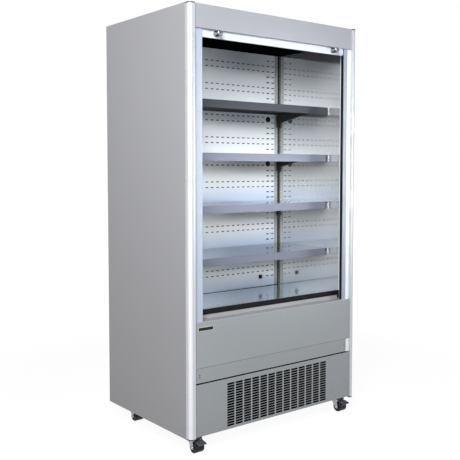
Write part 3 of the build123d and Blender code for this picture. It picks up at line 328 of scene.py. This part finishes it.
duct = {"depth": (0.1775, 0.1787)}


def behindWall(x, y, z):  # painted shade: the liner is painted dull and dark in the duct behind the perforated wall
    return ease(y, *duct["depth"])


knobPlug = {"side": 0.351, "level": 1.786, "rim": (0.0068, 0.0078), "face": (-0.3535, -0.3525)}


def plugHole(x, y, z):  # a dark plug fills the end of each knob
    far = distance(x.unsigned() - knobPlug["side"], z - knobPlug["level"])
    return fade(far, *knobPlug["rim"]) * fade(y, *knobPlug["face"])


# Shelf steel: a polished tray, a satin front lip and a dull underside, told apart by how far
# forward the metal lies and by whether it faces the floor. The underside's dark brown is painted shade,
# and the lip's rounded ends carry a painted dark reflection.
shelf = {"lipDepth": (-0.1945, -0.1935), "facing": (0.3, 0.7), "specular": 0.1, "lineShare": 0.4,
         "lineGrain": (3.0, 220.0, 220.0), "smearScale": 11.0, "trayDarker": 0.06, "spread": 0.05,
         "rough": 0.07, "lipRough": 0.26, "underRough": 0.75, "smearRough": 0.04, "lipPaint": 0.7,
         "waveScale": 4.0, "waveShare": 0.9, "waveDepth": 0.0008, "strength": 0.5}
# painted reflection: the dark colour at the rounded ends of each lip
lipEndShade = {"start": (0.432, 0.438), "end": (0.444, 0.45), "scale": 60.0, "blot": (0.3, 0.5),
            "colour": (0.03, 0.03, 0.03)}


def shelfSteel(name, look):
    material, place = newMaterial(name)
    x, y, _ = axes(place)
    facing = axes(place.add("ShaderNodeNewGeometry", {}, {}, 1))[2]  # output 1 is the normal
    lip = fade(y, *shelf["lipDepth"])
    under = ease(0.0 - facing, *shelf["facing"]) * (1.0 - lip)
    lines = noise(place, 1.0, 4.0, shelf["lineGrain"])
    smear = noise(place, shelf["smearScale"], 4.0)
    ends = ease(x.unsigned(), *lipEndShade["start"]) * fade(x.unsigned(), *lipEndShade["end"])
    endShade = lip * ends * ease(noise(place, lipEndShade["scale"], 2.0), *lipEndShade["blot"])
    shade = lines * shelf["lineShare"] + smear * (1.0 - shelf["lineShare"])
    trayDark = tinted(look["tray"], -shelf["trayDarker"])
    tray = mixColour(shade, trayDark, tinted(look["tray"], shelf["spread"]))
    face = mixColour(shade, tinted(look["lip"], -shelf["spread"]), tinted(look["lip"], shelf["spread"]))
    colour = mixColour(under, mixColour(lip, tray, face), look["under"])
    colour = mixColour(endShade, colour, lipEndShade["colour"])
    rough = shelf["rough"] + lip * shelf["lipRough"] + under * shelf["underRough"]
    rough = rough + (smear - 0.5) * shelf["smearRough"]
    wave = noise(place, shelf["waveScale"], 1.0) * shelf["waveShare"] + lines * (1.0 - shelf["waveShare"])
    shader = place.add("ShaderNodeBsdfPrincipled", {}, {
        "Base Color": colour, "Roughness": rough, "Specular IOR Level": shelf["specular"],
        "Metallic": 1.0 - lip * shelf["lipPaint"] - under,
        "Normal": relief(wave, shelf["waveDepth"], shelf["strength"])})
    return finishMaterial(material, shader)


# Hot-dip zinc: flat crystals of slightly different grey with soft borders, dulled in clouds.
zinc = {"cloudScale": 6.0, "toneShare": 0.6, "toneRough": 0.16, "cloudRough": 0.1,
        "fineScale": 420.0, "depth": 0.00012, "strength": 0.3}


def zincSheet(name, look):
    material, place = newMaterial(name)
    crystal = place.add("ShaderNodeTexVoronoi", {}, {"Vector": place, "Scale": look["crystals"]}, 1)
    tone = place.add("ShaderNodeRGBToBW", {}, {0: crystal})
    cloud = noise(place, zinc["cloudScale"], 4.0)
    shade = tone * zinc["toneShare"] + cloud * (1.0 - zinc["toneShare"])
    rough = look["rough"] + (tone - 0.5) * zinc["toneRough"] + (cloud - 0.5) * zinc["cloudRough"]
    height = tone * 0.5 + noise(place, zinc["fineScale"], 2.0) * 0.5
    shader = place.add("ShaderNodeBsdfPrincipled", {}, {
        "Base Color": mixColour(shade, look["dark"], look["light"]), "Roughness": rough,
        "Metallic": look["metallic"], "Normal": relief(height, zinc["depth"], zinc["strength"])})
    return finishMaterial(material, shader)


# Moulded plastic or rubber: a spark-eroded grain of small pits, faint flow clouds and pale scuffs.
mould = {"cloudScale": 18.0, "cloudShare": 0.6, "cloudRough": 0.12, "scuffScale": 90.0,
         "scuffEdge": (0.56, 0.72), "scuffRough": 0.1, "strength": 0.5}


def mouldedPlastic(name, look):
    material, place = newMaterial(name)
    pits = place.add("ShaderNodeTexVoronoi", {"feature": "SMOOTH_F1"},
                     {"Vector": place, "Scale": look["pits"]})
    cloud = noise(place, mould["cloudScale"], 3.0)
    scuff = ease(noise(place, mould["scuffScale"], 5.0), *mould["scuffEdge"])
    shade = cloud * mould["cloudShare"] + pits * (1.0 - mould["cloudShare"])
    darker = tinted(look["colour"], -look["spread"])
    lighter = tinted(look["colour"], look["spread"])
    colour = mixColour(scuff * look["scuff"], mixColour(shade, darker, lighter), look["scuffColour"])
    rough = look["rough"] + (cloud - 0.5) * mould["cloudRough"] + scuff * mould["scuffRough"]
    shader = place.add("ShaderNodeBsdfPrincipled", {}, {
        "Base Color": colour, "Roughness": rough, "Specular IOR Level": look["specular"],
        "Normal": relief(pits, look["pitDepth"], mould["strength"])})
    return finishMaterial(material, shader)


def plastic(colour, **changes):
    look = {"colour": colour, "spread": 0.12, "pits": 900.0, "pitDepth": 0.0002, "rough": 0.48,
            "specular": 0.5, "scuff": 0.12, "scuffColour": tinted(colour, 0.6)}
    look.update(changes)
    return look


# Rigid foam: closed cells under a crusted skin.
crust = {"cloudScale": 8.0, "rough": 0.85, "cloudRough": 0.1, "depth": 0.0006, "strength": 0.7}


def foamBlock(name, look):
    material, place = newMaterial(name)
    cells = place.add("ShaderNodeTexVoronoi", {}, {"Vector": place, "Scale": look["cells"]})
    cloud = noise(place, crust["cloudScale"], 5.0)
    colour = mixColour(cells * 0.5 + cloud * 0.5, look["dark"], look["light"])
    shader = place.add("ShaderNodeBsdfPrincipled", {}, {
        "Base Color": colour, "Roughness": crust["rough"] + (cloud - 0.5) * crust["cloudRough"],
        "Normal": relief(cells, crust["depth"], crust["strength"])})
    return finishMaterial(material, shader)


# Plain weave: over-and-under threads as the product of two sines across and down the cloth.
weft = {"cloudScale": 7.0, "threadRough": 0.15, "sheen": 0.15, "depth": 0.0002, "strength": 0.5}


def wovenCloth(name, look):
    material, place = newMaterial(name)
    x, y, z = axes(place)
    turn = 2.0 * math.pi / look["thread"]
    across = x.math("SINE", x * turn)
    down = z.math("SINE", (z + y) * turn)
    weave = across * down * 0.5 + 0.5
    cloud = noise(place, weft["cloudScale"], 3.0)
    colour = mixColour(weave * 0.5 + cloud * 0.5, look["dark"], look["light"])
    shader = place.add("ShaderNodeBsdfPrincipled", {}, {
        "Base Color": colour, "Roughness": look["rough"] + (weave - 0.5) * weft["threadRough"],
        "Metallic": look["metallic"], "Sheen Weight": weft["sheen"],
        "Normal": relief(weave, weft["depth"], weft["strength"])})
    return finishMaterial(material, shader)


# Drawn copper tube: bright with brown bloom where the flame has been.
copper = {"bloomScale": 22.0, "bloomEdge": (0.42, 0.68), "drawnScale": 300.0, "rough": 0.26,
          "bloomRough": 0.22, "drawnRough": 0.06, "depth": 0.0001, "strength": 0.3}


def copperTube(name, look):
    material, place = newMaterial(name)
    bloom = ease(noise(place, copper["bloomScale"], 4.0), *copper["bloomEdge"])
    drawn = noise(place, copper["drawnScale"], 2.0)
    rough = copper["rough"] + bloom * copper["bloomRough"] + (drawn - 0.5) * copper["drawnRough"]
    shader = place.add("ShaderNodeBsdfPrincipled", {}, {
        "Base Color": mixColour(bloom, look["bright"], look["brown"]), "Roughness": rough, "Metallic": 1.0,
        "Normal": relief(drawn, copper["depth"], copper["strength"])})
    return finishMaterial(material, shader)


# Fin pack: thin plates side by side along X, bright on their edges, with painted shade between them.
fins = {"bentScale": 35.0, "ridgeShare": 0.75, "rough": 0.34, "bentRough": 0.16, "metallic": 0.85,
        "strength": 0.5}


def finPack(name, look):
    material, place = newMaterial(name)
    ridge = waves(axes(place)[0], look["pitch"])
    bent = noise(place, fins["bentScale"], 3.0)
    shade = ridge * fins["ridgeShare"] + bent * (1.0 - fins["ridgeShare"])
    shader = place.add("ShaderNodeBsdfPrincipled", {}, {
        "Base Color": mixColour(shade, look["gap"], look["edge"]),
        "Roughness": fins["rough"] + bent * fins["bentRough"], "Metallic": fins["metallic"],
        "Normal": relief(ridge, look["pitch"] * 0.5, fins["strength"])})
    return finishMaterial(material, shader)


# Milky lamp cover: glows, fades at its two ends, and has the fine ribs of an extruded diffuser.
diffuser = {"endFade": 0.05, "ribGlow": 0.15, "valley": (0.78, 0.79, 0.8), "crest": (0.86, 0.87, 0.88),
            "rough": 0.3, "ribRough": 0.08, "depth": 0.0003, "relief": 0.4}


def lampCover(name, look):
    material, place = newMaterial(name)
    x, y, _ = axes(place)
    ribs = waves(y, look["rib"])
    ends = fade(x.unsigned(), look["half"] - diffuser["endFade"], look["half"])
    lit = ends * (1.0 - diffuser["ribGlow"] + ribs * diffuser["ribGlow"])
    shader = place.add("ShaderNodeBsdfPrincipled", {}, {
        "Base Color": mixColour(ribs, diffuser["valley"], diffuser["crest"]),
        "Roughness": diffuser["rough"] + ribs * diffuser["ribRough"],
        "Emission Color": mixColour(lit, look["dim"], look["bright"]), "Emission Strength": look["strength"],
        "Normal": relief(ribs, diffuser["depth"], diffuser["relief"])})
    return finishMaterial(material, shader)


# Dark bare plate: brushed across, with a bright bevelled rim.
plate = {"rimStart": 0.6, "lineGrain": (30.0, 30.0, 2400.0), "darker": 0.25, "lighter": 0.35,
         "rough": 0.3, "lineRough": 0.12, "metallic": 0.6, "depth": 0.00005, "strength": 0.3}


def plateWithRim(name, look):
    material, place = newMaterial(name)
    low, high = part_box("badge_plate")
    x, _, z = axes(place)
    side = x.math("MINIMUM", x - low[0], high[0] - x)
    end = x.math("MINIMUM", z - low[2], high[2] - z)
    rim = fade(x.math("MINIMUM", side, end), look["rim"] * plate["rimStart"], look["rim"])
    lines = noise(place, 1.0, 3.0, plate["lineGrain"])
    face = mixColour(lines, tinted(look["face"], -plate["darker"]), tinted(look["face"], plate["lighter"]))
    shader = place.add("ShaderNodeBsdfPrincipled", {}, {
        "Base Color": mixColour(rim, face, look["edge"]),
        "Roughness": plate["rough"] + lines * plate["lineRough"],
        "Metallic": plate["metallic"] + rim * (1.0 - plate["metallic"]),
        "Normal": relief(lines, plate["depth"], plate["strength"])})
    return finishMaterial(material, shader)


lowerGrain = {"grain": (4.0, 4.0, 260.0), "dust": 0.2, "dustTo": 0.24}
matBlack = {"rough": 0.8, "spread": 0.2, "specular": 0.0}
# painted reflection: the trays' steel is tinted blue, for cool light reflected in it
shelfTray = (0.46, 0.53, 0.62)
finishes = {
    "side_paint": paintedSheet("sidePaint", paint(
        fromScreen(168, 168, 172), grain=(8.0, 8.0, 2.0), cloudScale=1.4, rough=0.34, dust=0.2,
        pattern=paintedFootShade)),
    "post_paint": paintedSheet("postPaint", paint(
        fromScreen(199, 201, 207), grain=(240.0, 240.0, 5.0), grainShare=0.2, rough=0.27, metallic=0.45,
        peel=0.00001, speckle=0.01, fleck=0.1, spread=0.03, pattern=paintedPostHighlight)),
    "front_paint": paintedSheet("fasciaPaint", paint(
        fromScreen(167, 168, 176), grain=(4.0, 4.0, 240.0), rough=0.32)),
    # painted shade: the lower front panels are painted a little darker than the fascia, for light that falls
    # off towards the floor
    "lower_paint": paintedSheet("lowerPaint", paint(
        fromScreen(154, 158, 161), **lowerGrain, pattern=darkFoot)),
    "jamb_white": paintedSheet("jambWhite", paint(
        fromScreen(182, 191, 209), grain=(240.0, 240.0, 5.0), rough=0.25, spread=0.03, pattern=paintedJambLight)),
    "sill_metal": paintedSheet("sillMetal", paint(
        fromScreen(170, 171, 174), grain=(4.0, 240.0, 240.0), rough=0.3, pattern=darkGrooves)),
    "wall_paint": paintedSheet("wallPaint", paint(
        fromScreen(226, 228, 230), grain=(4.0, 4.0, 200.0), rough=0.3, spread=0.025, pattern=paintedBayLight)),
    "shelf_paint": shelfSteel("shelfSteel", {
        "lip": fromScreen(110, 113, 126), "tray": shelfTray, "under": fromScreen(80, 74, 60)}),
    "bracket_paint": paintedSheet("bracketPaint", paint(
        fromScreen(58, 56, 50), rough=0.42, spread=0.12, metallic=0.3)),
    "black_metal": paintedSheet("blackEnamel", paint(fromScreen(9, 9, 10), **matBlack)),
    "coil_black": paintedSheet("coatedFins", paint(fromScreen(12, 12, 13), **matBlack)),
    "compressor_black": paintedSheet("shellEnamel", paint(
        fromScreen(24, 24, 25), rough=0.24, spread=0.25, dust=0.25, dustTo=0.2)),
    "bar_white": paintedSheet("barWhite", paint(
        fromScreen(226, 231, 244), grain=(4.0, 260.0, 260.0), rough=0.22, spread=0.03)),
    "polished_steel": polishedSheet("mirrorSteel", {
        "colour": (0.98, 0.985, 0.99), "grain": (3.0, 3.0, 300.0), "rough": 0.075, "lineRough": 0.03,
        "waveScale": 3.5, "waveDepth": 0.0005, "metallic": 0.8, "darkening": behindWall}),
    "knob_chrome": polishedSheet("knobChrome", {
        "colour": (0.32, 0.32, 0.34), "grain": (60.0, 900.0, 60.0), "rough": 0.16, "lineRough": 0.05,
        "waveScale": 60.0, "waveDepth": 0.0002, "metallic": 1.0, "darkening": plugHole}),
    "screw_steel": polishedSheet("screwZinc", {
        "colour": (0.2, 0.2, 0.2), "grain": (300.0, 40.0, 300.0), "rough": 0.26, "lineRough": 0.1,
        "waveScale": 120.0, "waveDepth": 0.0002, "metallic": 1.0}),
    "galvanised": zincSheet("zincSheet", {
        "crystals": 75.0, "dark": (0.34, 0.35, 0.36), "light": (0.56, 0.57, 0.58), "rough": 0.36,
        "metallic": 0.75}),
    "dark_plastic": mouldedPlastic("capPlastic", plastic(fromScreen(34, 34, 35), specular=0.3)),
    "guide_black": mouldedPlastic("guidePlastic", plastic(fromScreen(24, 24, 25), rough=0.4)),
    "band_rubber": mouldedPlastic("bandRubber", plastic(
        fromScreen(10, 10, 10), rough=0.7, pits=600.0, specular=0.2)),
    "white_plastic": mouldedPlastic("whitePlastic", plastic(
        fromScreen(240, 241, 242), spread=0.02, rough=0.34, scuff=0.06, scuffColour=(0.6, 0.6, 0.6))),
    "outlet_plastic": mouldedPlastic("outletPlastic", plastic(fromScreen(34, 34, 35), rough=0.7)),
    "fan_plastic": mouldedPlastic("fanPlastic", plastic(fromScreen(36, 36, 37))),
    "tray_plastic": mouldedPlastic("trayPlastic", plastic(fromScreen(150, 150, 152), spread=0.06)),
    # painted shade: the control box behind the grille is near black, so the grille's slots look shaded
    "box_plastic": mouldedPlastic("boxPlastic", plastic(fromScreen(26, 26, 27), rough=0.7, specular=0.1)),
    "wheel_black": mouldedPlastic("wheelNylon", plastic(
        fromScreen(8, 8, 8), rough=0.3, pits=1400.0, specular=0.25, scuff=0.04)),
    "pedal_plastic": mouldedPlastic("pedalPlastic", plastic(
        fromScreen(78, 81, 88), spread=0.1, rough=0.36)),
    "foam": foamBlock("rigidFoam", {
        "cells": 420.0, "dark": (0.62, 0.54, 0.36), "light": (0.82, 0.76, 0.58)}),
    "blind_cloth": wovenCloth("blindCloth", {
        "thread": 0.0012, "dark": (0.3, 0.31, 0.32), "light": (0.44, 0.45, 0.46), "rough": 0.5,
        "metallic": 0.2}),
    "copper": copperTube("copperTube", {"bright": (0.82, 0.42, 0.27), "brown": (0.32, 0.15, 0.09)}),
    "coil_aluminium": finPack("finPack", {
        "pitch": 0.0028, "gap": (0.12, 0.12, 0.13), "edge": (0.68, 0.69, 0.7)}),
    "lamp_diffuser": lampCover("lampCover", {
        "rib": 0.0022, "half": 0.4, "dim": (0.5, 0.52, 0.55), "bright": (0.96, 0.98, 1.0),
        "strength": 0.12}),
    "badge_metal": plateWithRim("barePlate", {
        "face": (0.008, 0.008, 0.009), "edge": (0.66, 0.67, 0.68), "rim": 0.0018}),
}

ownFinishes = {  # pieces whose finish differs from the others of their slot
    "slotted_uprights": paintedSheet("uprightZinc", paint(
        fromScreen(156, 157, 155), grain=(200.0, 200.0, 6.0), rough=0.45, metallic=0.2,
        pattern=slotColumn)),
    # painted shade: the top shelf's lip and underside are painted darker, for the canopy's shade over them
    "shelf_1": shelfSteel("topShelfSteel", {
        "lip": fromScreen(58, 61, 66), "tray": shelfTray, "under": fromScreen(74, 67, 52)}),
    # painted shade: the service strip and the grille panel are painted darker still, for the same falloff
    "service_strip": paintedSheet("stripPaint", paint(
        fromScreen(150, 154, 157), **lowerGrain, pattern=darkEdge)),
    "grille_panel": paintedSheet("grillePaint", paint(
        fromScreen(148, 152, 155), **lowerGrain, pattern=shadedSlots)),
    # painted reflection: the deck is tinted blue, for cool light reflected in it
    "base_deck": polishedSheet("deckSteel", {
        "colour": (0.8, 0.9, 1.0), "grain": (3.0, 300.0, 300.0), "rough": 0.13, "lineRough": 0.05,
        "waveScale": 4.0, "waveDepth": 0.0008, "metallic": 0.9}),
    "wall_fittings": mouldedPlastic("fittingPlastic", plastic(fromScreen(16, 16, 17), specular=0.2)),
    # painted shade: the chassis pan behind the grille is black, so the grille's slots look shaded
    "chassis_pan": finishes["black_metal"],
}
for part in frame["record"]["subparts"]:
    node = frame["nodes"][part["node"]]
    node.data.materials.clear()
    node.data.materials.append(ownFinishes.get(part["node"], finishes[part["material_slot"]]))
print("finishes given:", len(finishes))


# A grid of points as a mesh: each point is one step in u and one in v, and each cell is one face.
def gridSurface(name, points, material, closed=False):
    rows, columns = points.shape[:2]
    index = np.arange(rows * columns).reshape(rows, columns)
    if closed:
        index = np.concatenate((index, index[:, :1]), axis=1)
    corners = (index[:-1, :-1], index[1:, :-1], index[1:, 1:], index[:-1, 1:])
    faces = np.stack(corners, axis=-1).reshape(-1, 4)
    mesh = bpy.data.meshes.new(name)
    mesh.from_pydata(points.reshape(-1, 3), [], faces.tolist())
    mesh.polygons.foreach_set("use_smooth", np.ones(len(faces), dtype=bool))
    mesh.materials.append(material)
    mesh.update()
    made = bpy.data.objects.new(name, mesh)
    bpy.context.scene.collection.objects.link(made)
    return made


def thicken(piece, thickness):  # half of the thickness to each side
    solid = piece.modifiers.new("thickness", "SOLIDIFY")
    solid.thickness = thickness
    solid.offset = 0.0


# The blind's free length: flat across X and down Z, with a ripple of a fifth of a millimetre
# in Y that dies out where the bar and the roll hold it.
blindFree = {"half": 0.417, "top": 1.836, "bottom": 1.812, "depth": -0.3145, "ripple": 0.0002,
             "rippleTurn": 9.0, "thickness": 0.0004, "rows": 25, "columns": 81}
u, v = np.meshgrid(np.linspace(0.0, 1.0, blindFree["rows"]),
                   np.linspace(-1.0, 1.0, blindFree["columns"]), indexing="ij")
height = blindFree["top"] + (blindFree["bottom"] - blindFree["top"]) * u
ripple = blindFree["ripple"] * np.sin(math.pi * u) * np.sin(blindFree["rippleTurn"] * v)
cloth = gridSurface("blind_cloth_free", np.stack((
    v * blindFree["half"], blindFree["depth"] + ripple, height), axis=-1), finishes["blind_cloth"])
thicken(cloth, blindFree["thickness"])
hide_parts("blind_fabric")

# The wound length: a spiral about the roller's axis, r falls evenly from the outside to the core,
# and starts at the front, where the free length leaves it. The turns' ends are a little uneven.
roll = {"axisY": -0.2919, "axisZ": 1.836, "outer": 0.0219, "core": 0.019, "turns": 10, "half": 0.417,
        "uneven": 0.0006, "unevenTurn": 0.37, "thickness": 0.0002, "stepsPerTurn": 40, "columns": 9}
u, v = np.meshgrid(np.linspace(0.0, 1.0, roll["turns"] * roll["stepsPerTurn"] + 1),
                   np.linspace(-1.0, 1.0, roll["columns"]), indexing="ij")
angle = math.pi - u * roll["turns"] * 2.0 * math.pi
radius = roll["outer"] + (roll["core"] - roll["outer"]) * u
halfWidth = roll["half"] - roll["uneven"] * (1.0 + np.sin(angle * roll["unevenTurn"]))
wound = gridSurface("blind_cloth_wound", np.stack((
    v * halfWidth, roll["axisY"] + radius * np.cos(angle), roll["axisZ"] + radius * np.sin(angle)),
    axis=-1), finishes["blind_cloth"])
thicken(wound, roll["thickness"])
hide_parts("blind_roller")
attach(wound, "roller")

# The roller's tube: a profile of radius against X, turned about the axis, with stepped end plugs.
tubeSides = 48
tubeProfile = np.array([
    (-0.420, 0.0), (-0.420, 0.0085), (-0.4185, 0.0105), (-0.4185, 0.0175), (-0.4175, 0.0186),
    (0.4175, 0.0186), (0.4185, 0.0175), (0.4185, 0.0105), (0.420, 0.0085), (0.420, 0.0)])
u, v = np.meshgrid(np.arange(len(tubeProfile)),
                   np.linspace(0.0, 2.0 * math.pi, tubeSides, endpoint=False), indexing="ij")
reach = tubeProfile[u, 1]
tube = gridSurface("blind_tube", np.stack((
    tubeProfile[u, 0], roll["axisY"] + reach * np.cos(v), roll["axisZ"] + reach * np.sin(v)), axis=-1),
    finishes["galvanised"], closed=True)
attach(tube, "roller")

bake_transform(cloth)
print("blind made")


studio = {"floorColour": (0.9, 0.9, 0.9), "bounceColour": (0.28, 0.28, 0.28), "whiteShare": 0.9,
          "white": 1.05, "allWhite": (1.4, 3.2), "shadeLevel": 0.13, "floorHalf": 30.0}


def seenRays(tree):  # 1 for rays from the camera and for those that gloss or glass sends on
    outputs = tree.nodes.new("ShaderNodeLightPath").outputs
    camera, glossy, through = (Wire(outputs[name]) for name in (
        "Is Camera Ray", "Is Glossy Ray", "Is Transmission Ray"))
    return camera.math("MAXIMUM", camera, camera.math("MAXIMUM", glossy, through))


# White to the camera and to reflections, with the shadow kept in the share that stays matt.
# That share falls to nothing away from the object.
def paleFloor():
    material, place = newMaterial("paleFloor")
    seen = seenRays(material.node_tree)
    colour = mixColour(seen, studio["bounceColour"], studio["floorColour"])
    matt = place.add("ShaderNodeBsdfDiffuse", {}, {"Color": colour})
    white = place.add("ShaderNodeEmission", {}, {"Color": (1.0, 1.0, 1.0, 1.0), "Strength": studio["white"]})
    x, y, _ = axes(place)
    away = ease(distance(x, y), *studio["allWhite"])
    share = away * (1.0 - studio["whiteShare"]) + studio["whiteShare"]
    shader = place.add("ShaderNodeMixShader", {}, {0: seen * share, 1: matt, 2: white})
    return finishMaterial(material, shader)


half = studio["floorHalf"]
u, v = np.meshgrid((-half, half), (-half, half), indexing="ij")
floor = gridSurface("floor", np.stack((u, v, np.zeros_like(u)), axis=-1), paleFloor())

world = bpy.data.worlds.new("studio")
world.use_nodes = True
world.node_tree.nodes.clear()
seen = seenRays(world.node_tree)
level = studio["shadeLevel"]
sky = mixColour(seen, (level, level, level), (1.0, 1.0, 1.0))
background = seen.add("ShaderNodeBackground", {}, {"Color": sky, "Strength": 1.0})
worldOutput = world.node_tree.nodes.new("ShaderNodeOutputWorld")
world.node_tree.links.new(background.socket, worldOutput.inputs["Surface"])
bpy.context.scene.world = world

lamps = {
    "keyBox": {"place": (-2.75, -2.75, 3.0), "aim": (0.0, 0.0, 1.4), "size": (1.5, 1.5), "power": 186.0,
               "spread": 180.0, "colour": (0.98, 0.99, 1.0)},
    "postStrip": {"place": (-2.95, -2.05, 1.05), "aim": (-0.49, -0.33, 1.05), "size": (0.2, 2.0),
                  "power": 14.0, "spread": 180.0, "colour": (1.0, 1.0, 1.0)},
    "rightFill": {"place": (2.5, -3.2, 1.3), "aim": (0.0, 0.0, 1.0), "size": (1.2, 1.6), "power": 38.0,
                  "spread": 180.0, "colour": (0.94, 0.97, 1.0)},
    "chamberBox": {"place": (-1.05, -3.1, 1.75), "aim": (0.26, 0.1, 1.16), "size": (0.45, 0.75),
                   "power": 1.9, "spread": 19.0, "colour": (0.95, 0.98, 1.0)},
}
for name, lamp in lamps.items():
    data = bpy.data.lights.new(name, "AREA")
    data.shape = "RECTANGLE"
    data.size, data.size_y = lamp["size"]
    data.energy = lamp["power"]
    data.color = lamp["colour"]
    data.spread = math.radians(lamp["spread"])
    box = bpy.data.objects.new(name, data)
    offset = np.array(lamp["aim"]) - np.array(lamp["place"])
    tilt = math.acos(-offset[2] / np.linalg.norm(offset))
    box.location = lamp["place"]
    box.rotation_euler = (tilt, 0.0, math.atan2(-offset[0], offset[1]))
    bpy.context.scene.collection.objects.link(box)

shot = {"place": (-2.2381, -2.8256, 1.2172), "right": 38.072, "down": 3.33, "lens": 57.43, "rise": -0.04,
        "sensor": 36.0}
lens = bpy.data.cameras.new("camera")
lens.sensor_width = shot["sensor"]
lens.lens = shot["lens"]
lens.shift_y = shot["rise"]
lens.dof.use_dof = False
camera = bpy.data.objects.new("camera", lens)
camera.location = shot["place"]
camera.rotation_euler = (math.radians(90.0 - shot["down"]), 0.0, math.radians(-shot["right"]))
bpy.context.scene.collection.objects.link(camera)
bpy.context.scene.camera = camera
bpy.context.scene.view_settings.view_transform = "Standard"
print("studio set")
